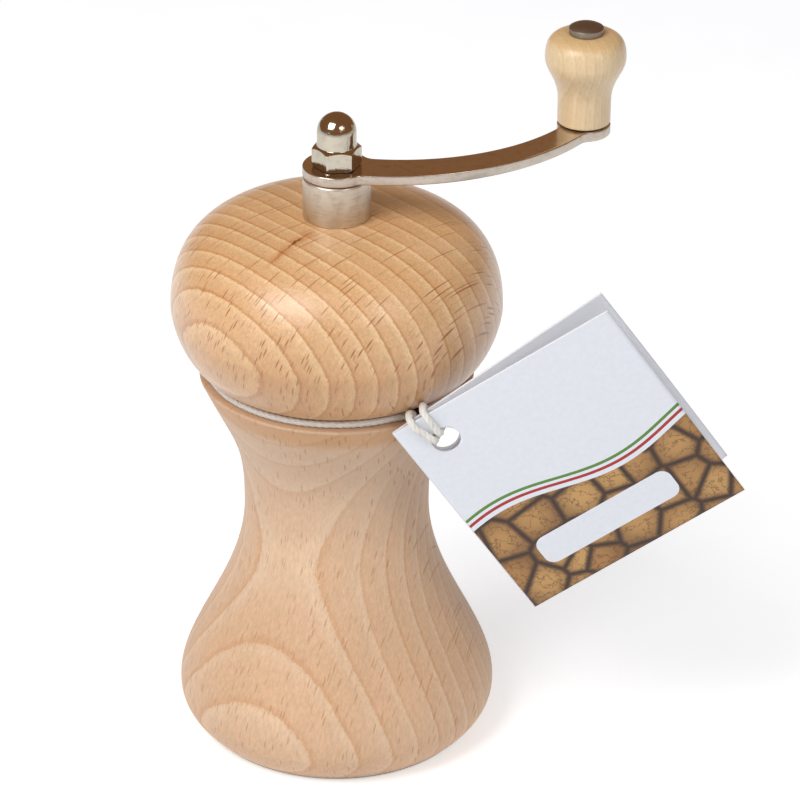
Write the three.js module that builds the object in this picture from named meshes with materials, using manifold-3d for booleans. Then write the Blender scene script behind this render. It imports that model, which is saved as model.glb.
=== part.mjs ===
// Mechanical nutmeg grater: a turned beech mill with a hand crank, a sprung shaft and a card tag.
// Millimetres, +Z up, floor at z = 0. The mill's axis stands beside the origin, so that the origin
// lies under the middle of the mill and its crank together.
import * as THREE from 'three';
import { mergeVertices } from 'three/addons/utils/BufferGeometryUtils.js';
import Module from 'manifold-3d';

const wasm = await Module();
wasm.setup();

// Clearances
const seatGap = 0.1; // between pieces that rest on each other
const turnedSeatGap = 0.3; // the same, where a turned group holds one of them
const runningGap = 0.25; // between a shaft or pin and the hole that it turns in
const fixedFit = 0.15; // between a fixed pin, screw or tenon and its hole

// Body
const bodyHeight = 90;
const footRadius = 31.6;
const bulgeRadius = 36.8;
const bulgeHeight = 10.4;
const waistRadius = 21.5;
const waistHeight = 58;
const rimRadius = 31;
const rimFlare = 0.45; // how fast the flank widens at the rim, across per up
const footFlare = 0.9; // how steeply the foot leaves the floor, up per across
const bulgePull = 0.235; // how far the bulge, the waist and the throat hold their upright
const waistPull = 0.435; // tangents, as shares of the stretch between them
const throatPull = 0.5;
const rimPull = 0.42;
const rimBevel = 0.7;
const footBevel = 0.8;
const chamberRadius = 16;
const recessRadius = 25;
const recessDepth = 12;

// Head
const headRadius = 37.6;
const headHeight = 40.5; // from the joint to the crown
const headWidestHeight = 17.8; // above the joint
const neckRadius = 24.5;
const neckHeight = 2.2;
const crownRadius = 8.6; // flat that the collar stands on
const headUnderside = 0.79; // how far the underside, the cheek and the crown hold their tangents,
const headCheek = 0.25; // as shares of the stretch between them
const headShoulder = 0.79;
const headCrown = 0.58;
const spigotRadius = 20;
const spigotLength = 8;
const spigotGap = 0.35;
const wellRadius = 11;
const crownThickness = 12.5; // wood above the spring well

// Collar, the bush that the shaft turns in
const collarRadius = 7.5;
const collarHeight = 9.4;
const collarBevel = 0.6;
const tenonRadius = 6.2;
const collarWasherRadius = 10.4;
const collarWasherThickness = 1;
const collarNutFlats = 15;
const collarNutHeight = 4;

// Shaft
const shaftSide = 6;
const threadRadius = 2.9;
const threadFlats = 4.6; // across the two flats that drive the crank and the claw
const topThreadLength = 7;
const footThreadLength = 4.6;

// Crank
const armThickness = 2;
const armWidth = 8; // halfway along
const armBend = 49.5; // radius of the arm's curve
const armStart = -15.5; // degrees from +X at which the arm leaves the hub
const armTurn = 75.4; // degrees that the arm turns through
const armTaper = 1.4; // how far each edge's centre is moved along the crank, so that the arm narrows
const hubRadius = 7.5;
const bossRadius = 6.1;
const armFillet = 3;
const capNutFlats = 9.8;
const capNutHexHeight = 4.8;
const capNutHeight = 12.4;
const capNutDomeRadius = 4.45;
const capNutBevel = 0.8; // of the hexagon's upper corners
const capNutFootBevel = 0.4;
const capNutTurn = 6; // degrees, as it was left when it was tightened

// Knob
const knobRadius = 9.2;
const knobBaseRadius = 6.05;
const knobHeight = 21.5;
const knobWidestHeight = 15.9;
const knobStemHeight = 5.3; // the straight stretch above the knob's base
const knobCrownRadius = 4.4;
const knobEdge = 0.5;
const knobStemPull = 0.52; // how far the stem holds its upright tangent
const knobBulbPull = 0.3; // the same, below the widest part
const knobShoulder = 0.8; // the same, above it
const knobCrown = 0.62; // how far the flat top holds its level tangent
const knobRecessRadius = 4.7; // of the hollow in the base that takes the washer
const rivetRadius = 2;
const rivetCapRadius = 3.95;
const rivetCapHeight = 3;
const rivetCapEdge = 0.8; // height of the cap's upright edge
const rivetFootRadius = 3.2;
const rivetFootHeight = 1;
const knobWasherRadius = 4.2;
const knobWasherThickness = 0.7;

// Spring and claw
const thrustWasherRadius = 9.2;
const thrustWasherThickness = 1.2;
const springRadius = 6.6; // to the middle of the wire
const springWire = 1.2;
const springTurns = 16;
const springEnd = 1.2; // straight end, square to what it meets
const clawRadius = 11;
const clawThickness = 1.6;
const prongCount = 3;
const prongLength = 7;
const prongRoot = 4.4;
const prongReach = 8.6; // from the axis to the prong's outer face
const clawNutFlats = 8;
const clawNutHeight = 4;
const clawClearance = 1.3; // from the prongs' tips down to the cutting edges

// Blade plate
const bladePlateThickness = 1.2;
const bladePlateMargin = 0.4;
const toothCount = 3;
const toothInner = 4.2;
const toothOuter = 14.2;
const toothRise = 0.9;
const toothRun = 5;
const slotWidth = 2.4;
const screwCount = 3;
const screwCircle = 20.4;
const screwRadius = 1.5;
const screwLength = 9;
const screwHeadRadius = 3.1;
const screwHeadHeight = 1.5;
const screwSlot = 0.8;

// String and tag
const stringRadius = 0.72;
const stringGap = 0.2; // from the string to what it lies against
const stringTail = 4.6; // behind the card, where the two ends are knotted
const stringSteps = 90;
const loopPoints = 30;
const grooveBend = 7; // degrees of the groove that a strand takes to turn outwards
// Where each strand leaves the groove, in degrees round the neck, where it goes through the hole,
// from the hole's middle, and how far right of the hole it crosses the card's top edge.
const rightStrand = { leave: -43, holeX: -0.1, holeZ: 2, edge: 0.4 };
const leftStrand = { leave: -55, holeX: -1.6, holeZ: 1.1, edge: -3.5 };
const cardWidth = 56; // from the fold to the free edge
const cardHeight = 60; // along the fold
const cardThickness = 0.4;
const cardTopOpening = 7; // degrees between the leaves at the top edge
const cardFootOpening = 15; // and at the foot, where the fold has sprung further open
const cardRows = 6; // stretches down the leaves, which turn a little from one to the next
const cardHoleRadius = 3.1;
const cardHoleInset = 9; // from the fold and from the top edge
const cardCorner = new THREE.Vector3(12.3, -32.1, 91.2); // top of the fold, from the mill's axis
const cardTurn = 4.3; // degrees about the upright
const cardLean = 7; // degrees back from upright
const cardRoll = -33.8; // degrees that the top edge climbs, turned within the card

// Heights and places that follow
const axisX = -(crankEnd().x + knobRadius - headRadius) / 2;
const bladePlateTop = recessDepth - seatGap;
const bladePlateBottom = bladePlateTop - bladePlateThickness;
const clawTip = bladePlateTop + toothRise + clawClearance;
const clawBottom = clawTip + prongLength;
const clawTop = clawBottom + clawThickness;
const socketDepth = spigotLength + spigotGap;
const headBottom = bodyHeight + seatGap;
const crownZ = headBottom + headHeight;
const wellTop = crownZ - crownThickness;
const collarBottom = crownZ + seatGap;
const collarTop = collarBottom + collarHeight;
const collarWasherTop = wellTop - seatGap;
const collarNutTop = collarWasherTop - collarWasherThickness - seatGap;
const tenonBottom = collarNutTop - collarNutHeight;
const thrustWasherTop = tenonBottom - seatGap;
const thrustWasherBottom = thrustWasherTop - thrustWasherThickness;
const armBottom = collarTop + seatGap;
const armTop = armBottom + armThickness;
const capNutBottom = armTop + seatGap;
const knobWasherBottom = armTop + turnedSeatGap;
const knobBottom = armTop + turnedSeatGap;
const collarBoreRadius = shaftSide / Math.SQRT2 + runningGap;

// Materials
function material(color, roughness, metalness) {
  return new THREE.MeshStandardMaterial({ color, roughness, metalness });
}

const bodyWood = material(0xd9a878, 0.5, 0);
const headWood = material(0xc98d55, 0.25, 0);
const knobWood = material(0xe0b27a, 0.5, 0);
const polishedSteel = material(0xc9cbce, 0.15, 1);
const satinSteel = material(0xb4b6b8, 0.4, 1);
const springSteel = material(0x8f9194, 0.35, 1);
const cotton = material(0xe9e0cb, 0.9, 0);
const card = material(0xecebef, 0.6, 0);

// Turns a profile, drawn anticlockwise with radius across and height up, about the Z axis.
function turned(profile, segments, steps = 8) {
  const points = profile.getPoints(steps);
  return new THREE.LatheGeometry(points, segments).rotateX(Math.PI / 2);
}

// A closed path through plain corners.
function outline(corners, path = new THREE.Path()) {
  path.setFromPoints(corners.map(([x, y]) => new THREE.Vector2(x, y)));
  path.closePath();
  return path;
}

// A ring or disc with square edges between two heights.
function ring(inner, outer, bottom, top, segments = 32) {
  return turned(outline([[inner, bottom], [outer, bottom], [outer, top], [inner, top]]), segments);
}

// A flat shape given thickness along Z from a height.
function plate(shape, bottom, thickness, curveSegments = 8) {
  const settings = { depth: thickness, bevelEnabled: false, curveSegments };
  return new THREE.ExtrudeGeometry(shape, settings).translate(0, 0, bottom);
}

function regularShape(acrossFlats, sides) {
  const corner = acrossFlats / 2 / Math.cos(Math.PI / sides);
  const corners = Array.from({ length: sides }, (_, i) => {
    const angle = ((i + 0.5) / sides) * 2 * Math.PI;
    return [corner * Math.cos(angle), corner * Math.sin(angle)];
  });
  return outline(corners, new THREE.Shape());
}

function circleHole(radius, x = 0, y = 0) {
  const hole = new THREE.Path();
  hole.absarc(x, y, radius, 0, 2 * Math.PI, true);
  return hole;
}

// A round hole or bar with two flats, across X.
function flattedPath(radius, acrossFlats, path) {
  const half = Math.acos(acrossFlats / 2 / radius);
  path.absarc(0, 0, radius, half, Math.PI - half, false);
  path.absarc(0, 0, radius, Math.PI + half, 2 * Math.PI - half, false);
  path.closePath();
  return path;
}

function toSolid(geometry) {
  const bare = geometry.clone();
  bare.deleteAttribute('normal');
  bare.deleteAttribute('uv');
  const welded = mergeVertices(bare, 1e-4);
  const vertProperties = new Float32Array(welded.attributes.position.array);
  const triVerts = new Uint32Array(welded.index.array);
  return new wasm.Manifold(new wasm.Mesh({ numProp: 3, vertProperties, triVerts }));
}

function indexed(positions, triangles) {
  const geometry = new THREE.BufferGeometry();
  geometry.setAttribute('position', new THREE.BufferAttribute(positions, 3));
  geometry.setIndex(new THREE.BufferAttribute(triangles, 1));
  geometry.computeVertexNormals();
  return geometry;
}

function toGeometry(solid) {
  const mesh = solid.getMesh();
  return indexed(mesh.vertProperties, mesh.triVerts);
}

function cut(geometry, tools) {
  return toGeometry(tools.reduce((solid, tool) => solid.subtract(toSolid(tool)), toSolid(geometry)));
}

function joined(geometries) {
  return toGeometry(geometries.map(toSolid).reduce((solid, next) => solid.add(next)));
}

function common(first, second) {
  return toGeometry(toSolid(first).intersect(toSolid(second)));
}

// Copies a geometry round the Z axis.
function around(count, geometry) {
  const copies = Array.from({ length: count }, (_, i) => i);
  return copies.map((i) => geometry.clone().rotateZ((i / count) * 2 * Math.PI));
}

// A closed form through rings of corners, listed anticlockwise seen from the last ring, each with the
// same number of corners. Each end is closed by a fan from its first corner.
function skinned(positions, sides) {
  const last = positions.length / 3 / sides - 1;
  const indices = [];
  for (let i = 0; i < last; i += 1) {
    for (let j = 0; j < sides; j += 1) {
      const here = i * sides + j;
      const next = i * sides + ((j + 1) % sides);
      indices.push(here, next, next + sides, here, next + sides, here + sides);
    }
  }
  for (let j = 1; j < sides - 1; j += 1) {
    indices.push(0, j + 1, j);
    indices.push(last * sides, last * sides + j, last * sides + j + 1);
  }
  return indexed(new Float32Array(positions), new Uint32Array(indices));
}

// A round tube along points, with flat ends square to its first and last stretch.
function tube(points, radius, sides) {
  const last = points.length - 1;
  const positions = [];
  let across = new THREE.Vector3(0, 0, 1);
  for (let i = 0; i <= last; i += 1) {
    const before = points[Math.max(i - 1, 0)];
    const after = points[Math.min(i + 1, last)];
    const along = after.clone().sub(before).normalize();
    if (i === 0 && Math.abs(along.z) > 0.9) across = new THREE.Vector3(1, 0, 0);
    across = across.clone().addScaledVector(along, -across.dot(along)).normalize();
    const beside = along.clone().cross(across);
    for (let j = 0; j < sides; j += 1) {
      const angle = (j / sides) * 2 * Math.PI;
      const point = points[i].clone();
      point.addScaledVector(across, radius * Math.cos(angle));
      point.addScaledVector(beside, radius * Math.sin(angle));
      positions.push(point.x, point.y, point.z);
    }
  }
  return skinned(positions, sides);
}

// Centre of the crank's end boss, from the mill's axis.
function crankEnd() {
  const start = THREE.MathUtils.degToRad(armStart);
  const end = THREE.MathUtils.degToRad(armStart + armTurn);
  return new THREE.Vector2(
    armBend * (Math.sin(end) - Math.sin(start)),
    armBend * (Math.cos(start) - Math.cos(end)),
  );
}

// The beech body: foot, bulge, waist and rim outside; recess, chamber and socket inside.
function bodyShell() {
  const socketRadius = spigotRadius + spigotGap;
  const profile = new THREE.Path();
  profile.moveTo(recessRadius, 0);
  profile.lineTo(footRadius - footBevel, 0);
  profile.lineTo(footRadius, footBevel);
  const footHandle = bulgeRadius - footRadius;
  profile.bezierCurveTo(
    footRadius + footHandle, footBevel + footHandle * footFlare,
    bulgeRadius, bulgeHeight * (1 - bulgePull),
    bulgeRadius, bulgeHeight,
  );
  const flank = waistHeight - bulgeHeight;
  profile.bezierCurveTo(
    bulgeRadius, bulgeHeight + flank * bulgePull,
    waistRadius, waistHeight - flank * waistPull,
    waistRadius, waistHeight,
  );
  const throat = bodyHeight - rimBevel - waistHeight;
  const rimHandle = throat * rimPull;
  profile.bezierCurveTo(
    waistRadius, waistHeight + throat * throatPull,
    rimRadius - rimHandle * rimFlare, bodyHeight - rimBevel - rimHandle,
    rimRadius, bodyHeight - rimBevel,
  );
  profile.lineTo(rimRadius - rimBevel, bodyHeight);
  profile.lineTo(socketRadius, bodyHeight);
  profile.lineTo(socketRadius, bodyHeight - socketDepth);
  profile.lineTo(chamberRadius, bodyHeight - socketDepth);
  profile.lineTo(chamberRadius, recessDepth);
  profile.lineTo(recessRadius, recessDepth);
  profile.closePath();
  const pilotRadius = screwRadius + fixedFit;
  const pilotLength = screwLength + seatGap;
  const pilot = new THREE.CylinderGeometry(pilotRadius, pilotRadius, pilotLength, 8).rotateX(Math.PI / 2);
  pilot.translate(screwCircle, 0, recessDepth + pilotLength / 2 - seatGap);
  return cut(turned(profile, 56), around(screwCount, pilot));
}

// The beech head: a squashed ball with a neck and a spigot, bored for the collar and the spring.
function headBlock() {
  const boreRadius = tenonRadius + fixedFit;
  const widestZ = headBottom + headWidestHeight;
  const neckTop = headBottom + neckHeight;
  const crownRise = crownZ - widestZ;
  const profile = new THREE.Path();
  profile.moveTo(wellRadius, headBottom - spigotLength);
  profile.lineTo(spigotRadius, headBottom - spigotLength);
  profile.lineTo(spigotRadius, headBottom);
  profile.lineTo(neckRadius, headBottom);
  profile.lineTo(neckRadius, neckTop);
  profile.bezierCurveTo(
    neckRadius + (headRadius - neckRadius) * headUnderside, neckTop + (headRadius - neckRadius) * 0.2,
    headRadius, widestZ - (widestZ - neckTop) * headCheek,
    headRadius, widestZ,
  );
  profile.bezierCurveTo(
    headRadius, widestZ + crownRise * headShoulder,
    crownRadius + (headRadius - crownRadius) * headCrown, crownZ,
    crownRadius, crownZ,
  );
  profile.lineTo(boreRadius, crownZ);
  profile.lineTo(boreRadius, wellTop);
  profile.lineTo(wellRadius, wellTop);
  profile.closePath();
  return turned(profile, 56, 9);
}

// The collar: a polished sleeve on the crown, with a tenon down through the wood.
function collar() {
  const corners = [
    [collarBoreRadius, tenonBottom],
    [tenonRadius, tenonBottom],
    [tenonRadius, collarBottom],
    [collarRadius, collarBottom],
    [collarRadius, collarTop - collarBevel],
    [collarRadius - collarBevel, collarTop],
    [collarBoreRadius, collarTop],
  ];
  return turned(outline(corners), 40);
}

function collarWasher() {
  const inner = tenonRadius + fixedFit;
  return ring(inner, collarWasherRadius, collarWasherTop - collarWasherThickness, collarWasherTop);
}

function collarNut() {
  const shape = regularShape(collarNutFlats, 6);
  shape.holes.push(circleHole(tenonRadius + fixedFit));
  return plate(shape, tenonBottom, collarNutHeight, 12);
}

function thrustWasher() {
  const shape = new THREE.Shape();
  shape.absarc(0, 0, thrustWasherRadius, 0, 2 * Math.PI, false);
  const half = shaftSide / 2 + runningGap;
  shape.holes.push(outline([[-half, -half], [-half, half], [half, half], [half, -half]]));
  return plate(shape, thrustWasherBottom, thrustWasherThickness, 16);
}

// The square shaft, with flatted threads at both ends.
function shaft() {
  const squareBottom = clawTop + seatGap;
  const squareTop = armBottom - seatGap;
  const square = new THREE.BoxGeometry(shaftSide, shaftSide, squareTop - squareBottom);
  square.translate(0, 0, (squareTop + squareBottom) / 2);
  const thread = flattedPath(threadRadius, threadFlats, new THREE.Shape());
  const overlap = 0.5;
  const topLength = capNutBottom + topThreadLength - squareTop;
  const top = plate(thread, squareTop - overlap, topLength + overlap);
  const threadBottom = clawBottom - footThreadLength;
  const foot = plate(thread, threadBottom, squareBottom - threadBottom + overlap);
  return joined([square, top, foot]);
}

// A point at given distances from two centres, on the left or right of the line between them.
function meeting(first, firstDistance, second, secondDistance, side) {
  const apart = first.distanceTo(second);
  const along = (apart ** 2 + firstDistance ** 2 - secondDistance ** 2) / (2 * apart);
  const off = Math.sqrt(firstDistance ** 2 - along ** 2) * side;
  const unit = second.clone().sub(first).divideScalar(apart);
  return new THREE.Vector2(
    first.x + unit.x * along - unit.y * off,
    first.y + unit.y * along + unit.x * off,
  );
}

// The crank: a hub, an arm bent in plan and an end boss, blended by fillets.
function crankArm() {
  const hub = new THREE.Vector2(0, 0);
  const boss = crankEnd();
  const start = THREE.MathUtils.degToRad(armStart);
  const bend = new THREE.Vector2(-Math.sin(start), Math.cos(start)).multiplyScalar(armBend);
  const apart = boss.clone().setLength(armTaper);
  const outerBend = bend.clone().sub(apart);
  const innerBend = bend.clone().add(apart);
  const outer = armBend + armWidth / 2;
  const inner = armBend - armWidth / 2;
  const fillets = {
    hubOuter: meeting(hub, hubRadius + armFillet, outerBend, outer + armFillet, -1),
    bossOuter: meeting(boss, bossRadius + armFillet, outerBend, outer + armFillet, 1),
    bossInner: meeting(boss, bossRadius + armFillet, innerBend, inner - armFillet, 1),
    hubInner: meeting(hub, hubRadius + armFillet, innerBend, inner - armFillet, -1),
  };
  const angle = (from, to) => Math.atan2(to.y - from.y, to.x - from.x);
  const arc = (centre, radius, from, to, clockwise) => {
    shape.absarc(centre.x, centre.y, radius, angle(centre, from), angle(centre, to), clockwise);
  };
  const flip = (centre, fillet) => centre.clone().multiplyScalar(2).sub(fillet);
  const { hubOuter, bossOuter, bossInner, hubInner } = fillets;
  const shape = new THREE.Shape();
  arc(hub, hubRadius, hubInner, hubOuter, false);
  arc(hubOuter, armFillet, hub, outerBend, true);
  arc(outerBend, outer, hubOuter, bossOuter, false);
  arc(bossOuter, armFillet, outerBend, boss, true);
  arc(boss, bossRadius, bossOuter, bossInner, false);
  arc(bossInner, armFillet, boss, flip(bossInner, innerBend), true);
  arc(innerBend, inner, bossInner, hubInner, true);
  arc(hubInner, armFillet, flip(hubInner, innerBend), hub, true);
  shape.closePath();
  shape.holes.push(flattedPath(threadRadius + fixedFit, threadFlats + 2 * fixedFit, new THREE.Path()));
  shape.holes.push(circleHole(rivetRadius + fixedFit, boss.x, boss.y));
  return plate(shape, armBottom, armThickness, 7);
}

// The acorn nut: a hexagon with turned shoulders under a domed cap, tapped from below.
function capNut() {
  const corner = capNutFlats / 2 / Math.cos(Math.PI / 6);
  const domeZ = capNutHeight - capNutDomeRadius;
  const turning = new THREE.Path();
  turning.moveTo(0, 0);
  turning.lineTo(corner - capNutFootBevel, 0);
  turning.lineTo(corner, capNutFootBevel);
  turning.lineTo(corner, capNutHexHeight - capNutBevel);
  turning.lineTo(capNutDomeRadius, capNutHexHeight);
  turning.lineTo(capNutDomeRadius, domeZ);
  turning.absarc(0, domeZ, capNutDomeRadius, 0, Math.PI / 2, false);
  const bar = new THREE.CylinderGeometry(corner, corner, capNutHeight, 6).rotateX(Math.PI / 2);
  bar.rotateZ(Math.PI / 6).translate(0, 0, capNutHeight / 2);
  const boreDepth = topThreadLength + capNutFootBevel;
  const boreRadius = threadRadius + fixedFit;
  const bore = new THREE.CylinderGeometry(boreRadius, boreRadius, boreDepth * 2, 20);
  bore.rotateX(Math.PI / 2);
  const nut = cut(common(bar, turned(turning, 36, 6)), [bore]);
  return nut.rotateZ(THREE.MathUtils.degToRad(capNutTurn));
}

// The compression spring: one wire, wound round the shaft, with straight ends.
function springPoints() {
  const bottom = clawTop + seatGap;
  const top = thrustWasherBottom - seatGap;
  const lift = springWire; // height that each end takes to turn from upright to the winding
  const windBottom = bottom + springEnd + lift;
  const windTop = top - springEnd - lift;
  const steps = springTurns * 8;
  const at = (share, z) => {
    const angle = share * springTurns * 2 * Math.PI;
    return new THREE.Vector3(springRadius * Math.cos(angle), springRadius * Math.sin(angle), z);
  };
  const wound = Array.from({ length: steps + 1 }, (_, i) => (
    at(i / steps, windBottom + (windTop - windBottom) * (i / steps))
  ));
  const before = at(-0.75 / steps, windBottom - lift);
  const after = at(1 + 0.75 / steps, windTop + lift);
  return [
    new THREE.Vector3(before.x, before.y, bottom),
    new THREE.Vector3(before.x, before.y, bottom + springEnd),
    ...wound,
    new THREE.Vector3(after.x, after.y, top - springEnd),
    new THREE.Vector3(after.x, after.y, top),
  ];
}

// Least distance between the wire and itself, measured between stretches over half a turn apart.
function leastSelfGap(points, wire, skip) {
  let least = Infinity;
  for (let i = 0; i < points.length; i += 1) {
    for (let j = i + skip; j < points.length; j += 1) {
      least = Math.min(least, points[i].distanceTo(points[j]) - wire);
    }
  }
  return least;
}

// The claw: a disc with three prongs bent down and a flatted hole.
function clawPlate() {
  const shape = new THREE.Shape();
  shape.absarc(0, 0, clawRadius, 0, 2 * Math.PI, false);
  shape.holes.push(flattedPath(threadRadius + fixedFit, threadFlats + 2 * fixedFit, new THREE.Path()));
  const disc = plate(shape, clawBottom, clawThickness, 16);
  const prongShape = outline([
    [-prongRoot / 2, clawThickness / 2],
    [-prongRoot / 2, 0],
    [0, -prongLength],
    [prongRoot / 2, 0],
    [prongRoot / 2, clawThickness / 2],
  ], new THREE.Shape());
  const prong = plate(prongShape, 0, clawThickness).rotateX(Math.PI / 2);
  prong.translate(0, prongReach, clawBottom);
  return joined([disc, ...around(prongCount, prong)]);
}

function clawNut() {
  const shape = regularShape(clawNutFlats, 6);
  shape.holes.push(circleHole(threadRadius + fixedFit));
  return plate(shape, clawBottom - seatGap - clawNutHeight, clawNutHeight, 10);
}

// The blade plate: a disc with slots, each under a raised cutting edge.
function bladePlate() {
  const shape = new THREE.Shape();
  shape.absarc(0, 0, recessRadius - bladePlateMargin, 0, 2 * Math.PI, false);
  const disc = plate(shape, bladePlateBottom, bladePlateThickness, 20);
  const length = toothOuter - toothInner;
  const slot = new THREE.BoxGeometry(length, slotWidth, bladePlateThickness * 3);
  slot.translate((toothOuter + toothInner) / 2, slotWidth / 2, bladePlateTop - bladePlateThickness / 2);
  const edgeShape = outline([
    [-toothRun, -bladePlateThickness / 2],
    [-0.2, -bladePlateThickness / 2],
    [slotWidth * 0.35, toothRise],
    [-toothRun * 0.25, toothRise * 0.8],
    [-toothRun, 0],
  ], new THREE.Shape());
  const edge = plate(edgeShape, -toothOuter + 0.3, length - 0.6);
  edge.rotateX(Math.PI / 2).rotateZ(Math.PI / 2).translate(0, 0, bladePlateTop);
  const holeRadius = screwRadius + runningGap;
  const hole = new THREE.CylinderGeometry(holeRadius, holeRadius, 4, 12).rotateX(Math.PI / 2);
  hole.translate(screwCircle, 0, bladePlateTop);
  const slotted = cut(disc, [...around(toothCount, slot), ...around(screwCount, hole)]);
  return joined([slotted, ...around(toothCount, edge)]);
}

// A slotted wood screw, driven up from the recess.
function bladeScrew() {
  const headTop = bladePlateBottom - seatGap;
  const profile = outline([
    [0, headTop - screwHeadHeight],
    [screwHeadRadius * 0.6, headTop - screwHeadHeight],
    [screwHeadRadius, headTop - screwHeadHeight * 0.4],
    [screwHeadRadius, headTop],
    [screwRadius, headTop],
    [screwRadius, headTop + screwLength * 0.7],
    [0, headTop + screwLength],
  ]);
  profile.autoClose = false;
  const slot = new THREE.BoxGeometry(screwHeadRadius * 3, screwSlot, screwSlot);
  slot.translate(0, 0, headTop - screwHeadHeight + screwSlot / 2 - 0.05);
  return cut(turned(profile, 16), [slot]);
}

// The knob, turned like a small bulb, with a hole for the rivet and a hollow for the washer.
function knobGrip() {
  const hole = rivetRadius + runningGap;
  const recess = knobWasherThickness + seatGap;
  const profile = new THREE.Path();
  profile.moveTo(hole, recess);
  profile.lineTo(knobRecessRadius, recess);
  profile.lineTo(knobRecessRadius, 0);
  profile.lineTo(knobBaseRadius - knobEdge, 0);
  profile.lineTo(knobBaseRadius, knobEdge);
  profile.lineTo(knobBaseRadius, knobStemHeight);
  const rise = knobWidestHeight - knobStemHeight;
  profile.bezierCurveTo(
    knobBaseRadius, knobStemHeight + rise * knobStemPull,
    knobRadius, knobWidestHeight - rise * knobBulbPull,
    knobRadius, knobWidestHeight,
  );
  const crown = knobHeight - knobWidestHeight;
  profile.bezierCurveTo(
    knobRadius, knobWidestHeight + crown * knobShoulder,
    knobCrownRadius + (knobRadius - knobCrownRadius) * knobCrown, knobHeight - knobEdge / 2,
    knobCrownRadius, knobHeight,
  );
  profile.lineTo(hole, knobHeight);
  profile.closePath();
  return turned(profile, 32, 8);
}

// The rivet: closed under the arm, with a domed cap on the knob.
function knobRivet() {
  const foot = armBottom - turnedSeatGap - knobBottom;
  const profile = new THREE.Path();
  profile.moveTo(0, foot - rivetFootHeight);
  profile.lineTo(rivetFootRadius * 0.7, foot - rivetFootHeight);
  profile.lineTo(rivetFootRadius, foot - rivetFootHeight * 0.4);
  profile.lineTo(rivetFootRadius, foot);
  profile.lineTo(rivetRadius, foot);
  const seat = knobHeight + seatGap;
  profile.lineTo(rivetRadius, seat);
  profile.lineTo(rivetCapRadius, seat);
  profile.lineTo(rivetCapRadius, seat + rivetCapEdge);
  profile.quadraticCurveTo(rivetCapRadius * 0.62, seat + rivetCapHeight, 0, seat + rivetCapHeight);
  return turned(profile, 24, 5);
}

function knobWasher() {
  return ring(rivetRadius + fixedFit, knobWasherRadius, 0, knobWasherThickness, 24);
}

// The card's own frame: X from the fold to the free edge, Y away from the viewer, Z up the fold.
function cardTurned() {
  const angles = [cardLean, cardRoll, cardTurn].map(THREE.MathUtils.degToRad);
  return new THREE.Euler(...angles, 'ZXY');
}

// The leaves' section where they open by an angle, from the crease round the back leaf to the front one.
function leafSection(degrees) {
  const opening = THREE.MathUtils.degToRad(degrees);
  const back = new THREE.Vector2(Math.cos(opening), Math.sin(opening)).multiplyScalar(cardWidth);
  const inward = new THREE.Vector2(Math.sin(opening), -Math.cos(opening)).multiplyScalar(cardThickness);
  const crease = cardThickness / Math.tan(opening / 2);
  return [
    [crease, cardThickness],
    [back.x + inward.x, back.y + inward.y],
    [back.x, back.y],
    [0, 0],
    [cardWidth, 0],
    [cardWidth, cardThickness],
  ];
}

// The tag: one card folded into two leaves that open further towards the foot, with a hole through both.
function hangTag() {
  const shares = Array.from({ length: cardRows + 1 }, (_, i) => 1 - i / cardRows);
  const corners = shares.flatMap((share) => {
    const opening = cardTopOpening + (cardFootOpening - cardTopOpening) * share;
    return leafSection(opening).flatMap(([x, y]) => [x, y, -cardHeight * share]);
  });
  const hole = new THREE.CylinderGeometry(cardHoleRadius, cardHoleRadius, 12, 20);
  hole.translate(cardHoleInset, 2, -cardHoleInset);
  return cut(skinned(corners, 6), [hole]);
}

// One strand of the string: from behind the card through its hole, up the front, over the top edge
// and back to the neck groove.
function strandPoints(card, strand) {
  const onCard = (x, y, z) => new THREE.Vector3(x, y, z).applyMatrix4(card);
  const holeX = cardHoleInset + strand.holeX;
  const holeZ = strand.holeZ - cardHoleInset;
  const edgeX = cardHoleInset + strand.edge;
  const front = stringRadius + stringGap;
  const middleX = (holeX + edgeX) / 2;
  return [
    onCard(holeX, stringTail, holeZ),
    onCard(holeX, stringTail / 2, holeZ),
    onCard(holeX, cardThickness / 2, holeZ),
    onCard(holeX, -front, holeZ + stringRadius),
    onCard(middleX, -front, holeZ / 2),
    onCard(edgeX, -front, -stringRadius),
    onCard(edgeX, -cardThickness / 2, front),
    onCard(edgeX, stringTail / 2, front),
    groovePoint(strand.leave, neckRadius + 4 * stringRadius, stringRadius),
  ];
}

// A point over the rim, round the neck.
function groovePoint(degrees, radius = neckRadius + stringRadius + stringGap, lift = 0) {
  const angle = THREE.MathUtils.degToRad(degrees);
  const height = bodyHeight + stringRadius + stringGap + lift;
  return new THREE.Vector3(radius * Math.cos(angle), radius * Math.sin(angle), height);
}

// The string: a loop that lies round the neck groove, with both strands through the card's hole.
function stringPoints(card) {
  const firstAngle = rightStrand.leave + grooveBend;
  const lastAngle = leftStrand.leave + 360 - grooveBend;
  const loop = Array.from({ length: loopPoints }, (_, i) => (
    groovePoint(firstAngle + (lastAngle - firstAngle) * (i / (loopPoints - 1)))
  ));
  const route = [...strandPoints(card, rightStrand), ...loop, ...strandPoints(card, leftStrand).reverse()];
  return new THREE.CatmullRomCurve3(route, false, 'centripetal').getPoints(stringSteps);
}

function tagString(cardMatrix) {
  return tube(stringPoints(cardMatrix), stringRadius, 8);
}

function named(name, geometry, look, place = [0, 0, 0]) {
  const mesh = new THREE.Mesh(geometry, look);
  mesh.name = name;
  mesh.position.set(...place);
  return mesh;
}

const mill = new THREE.Group();
mill.position.x = axisX;

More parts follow.
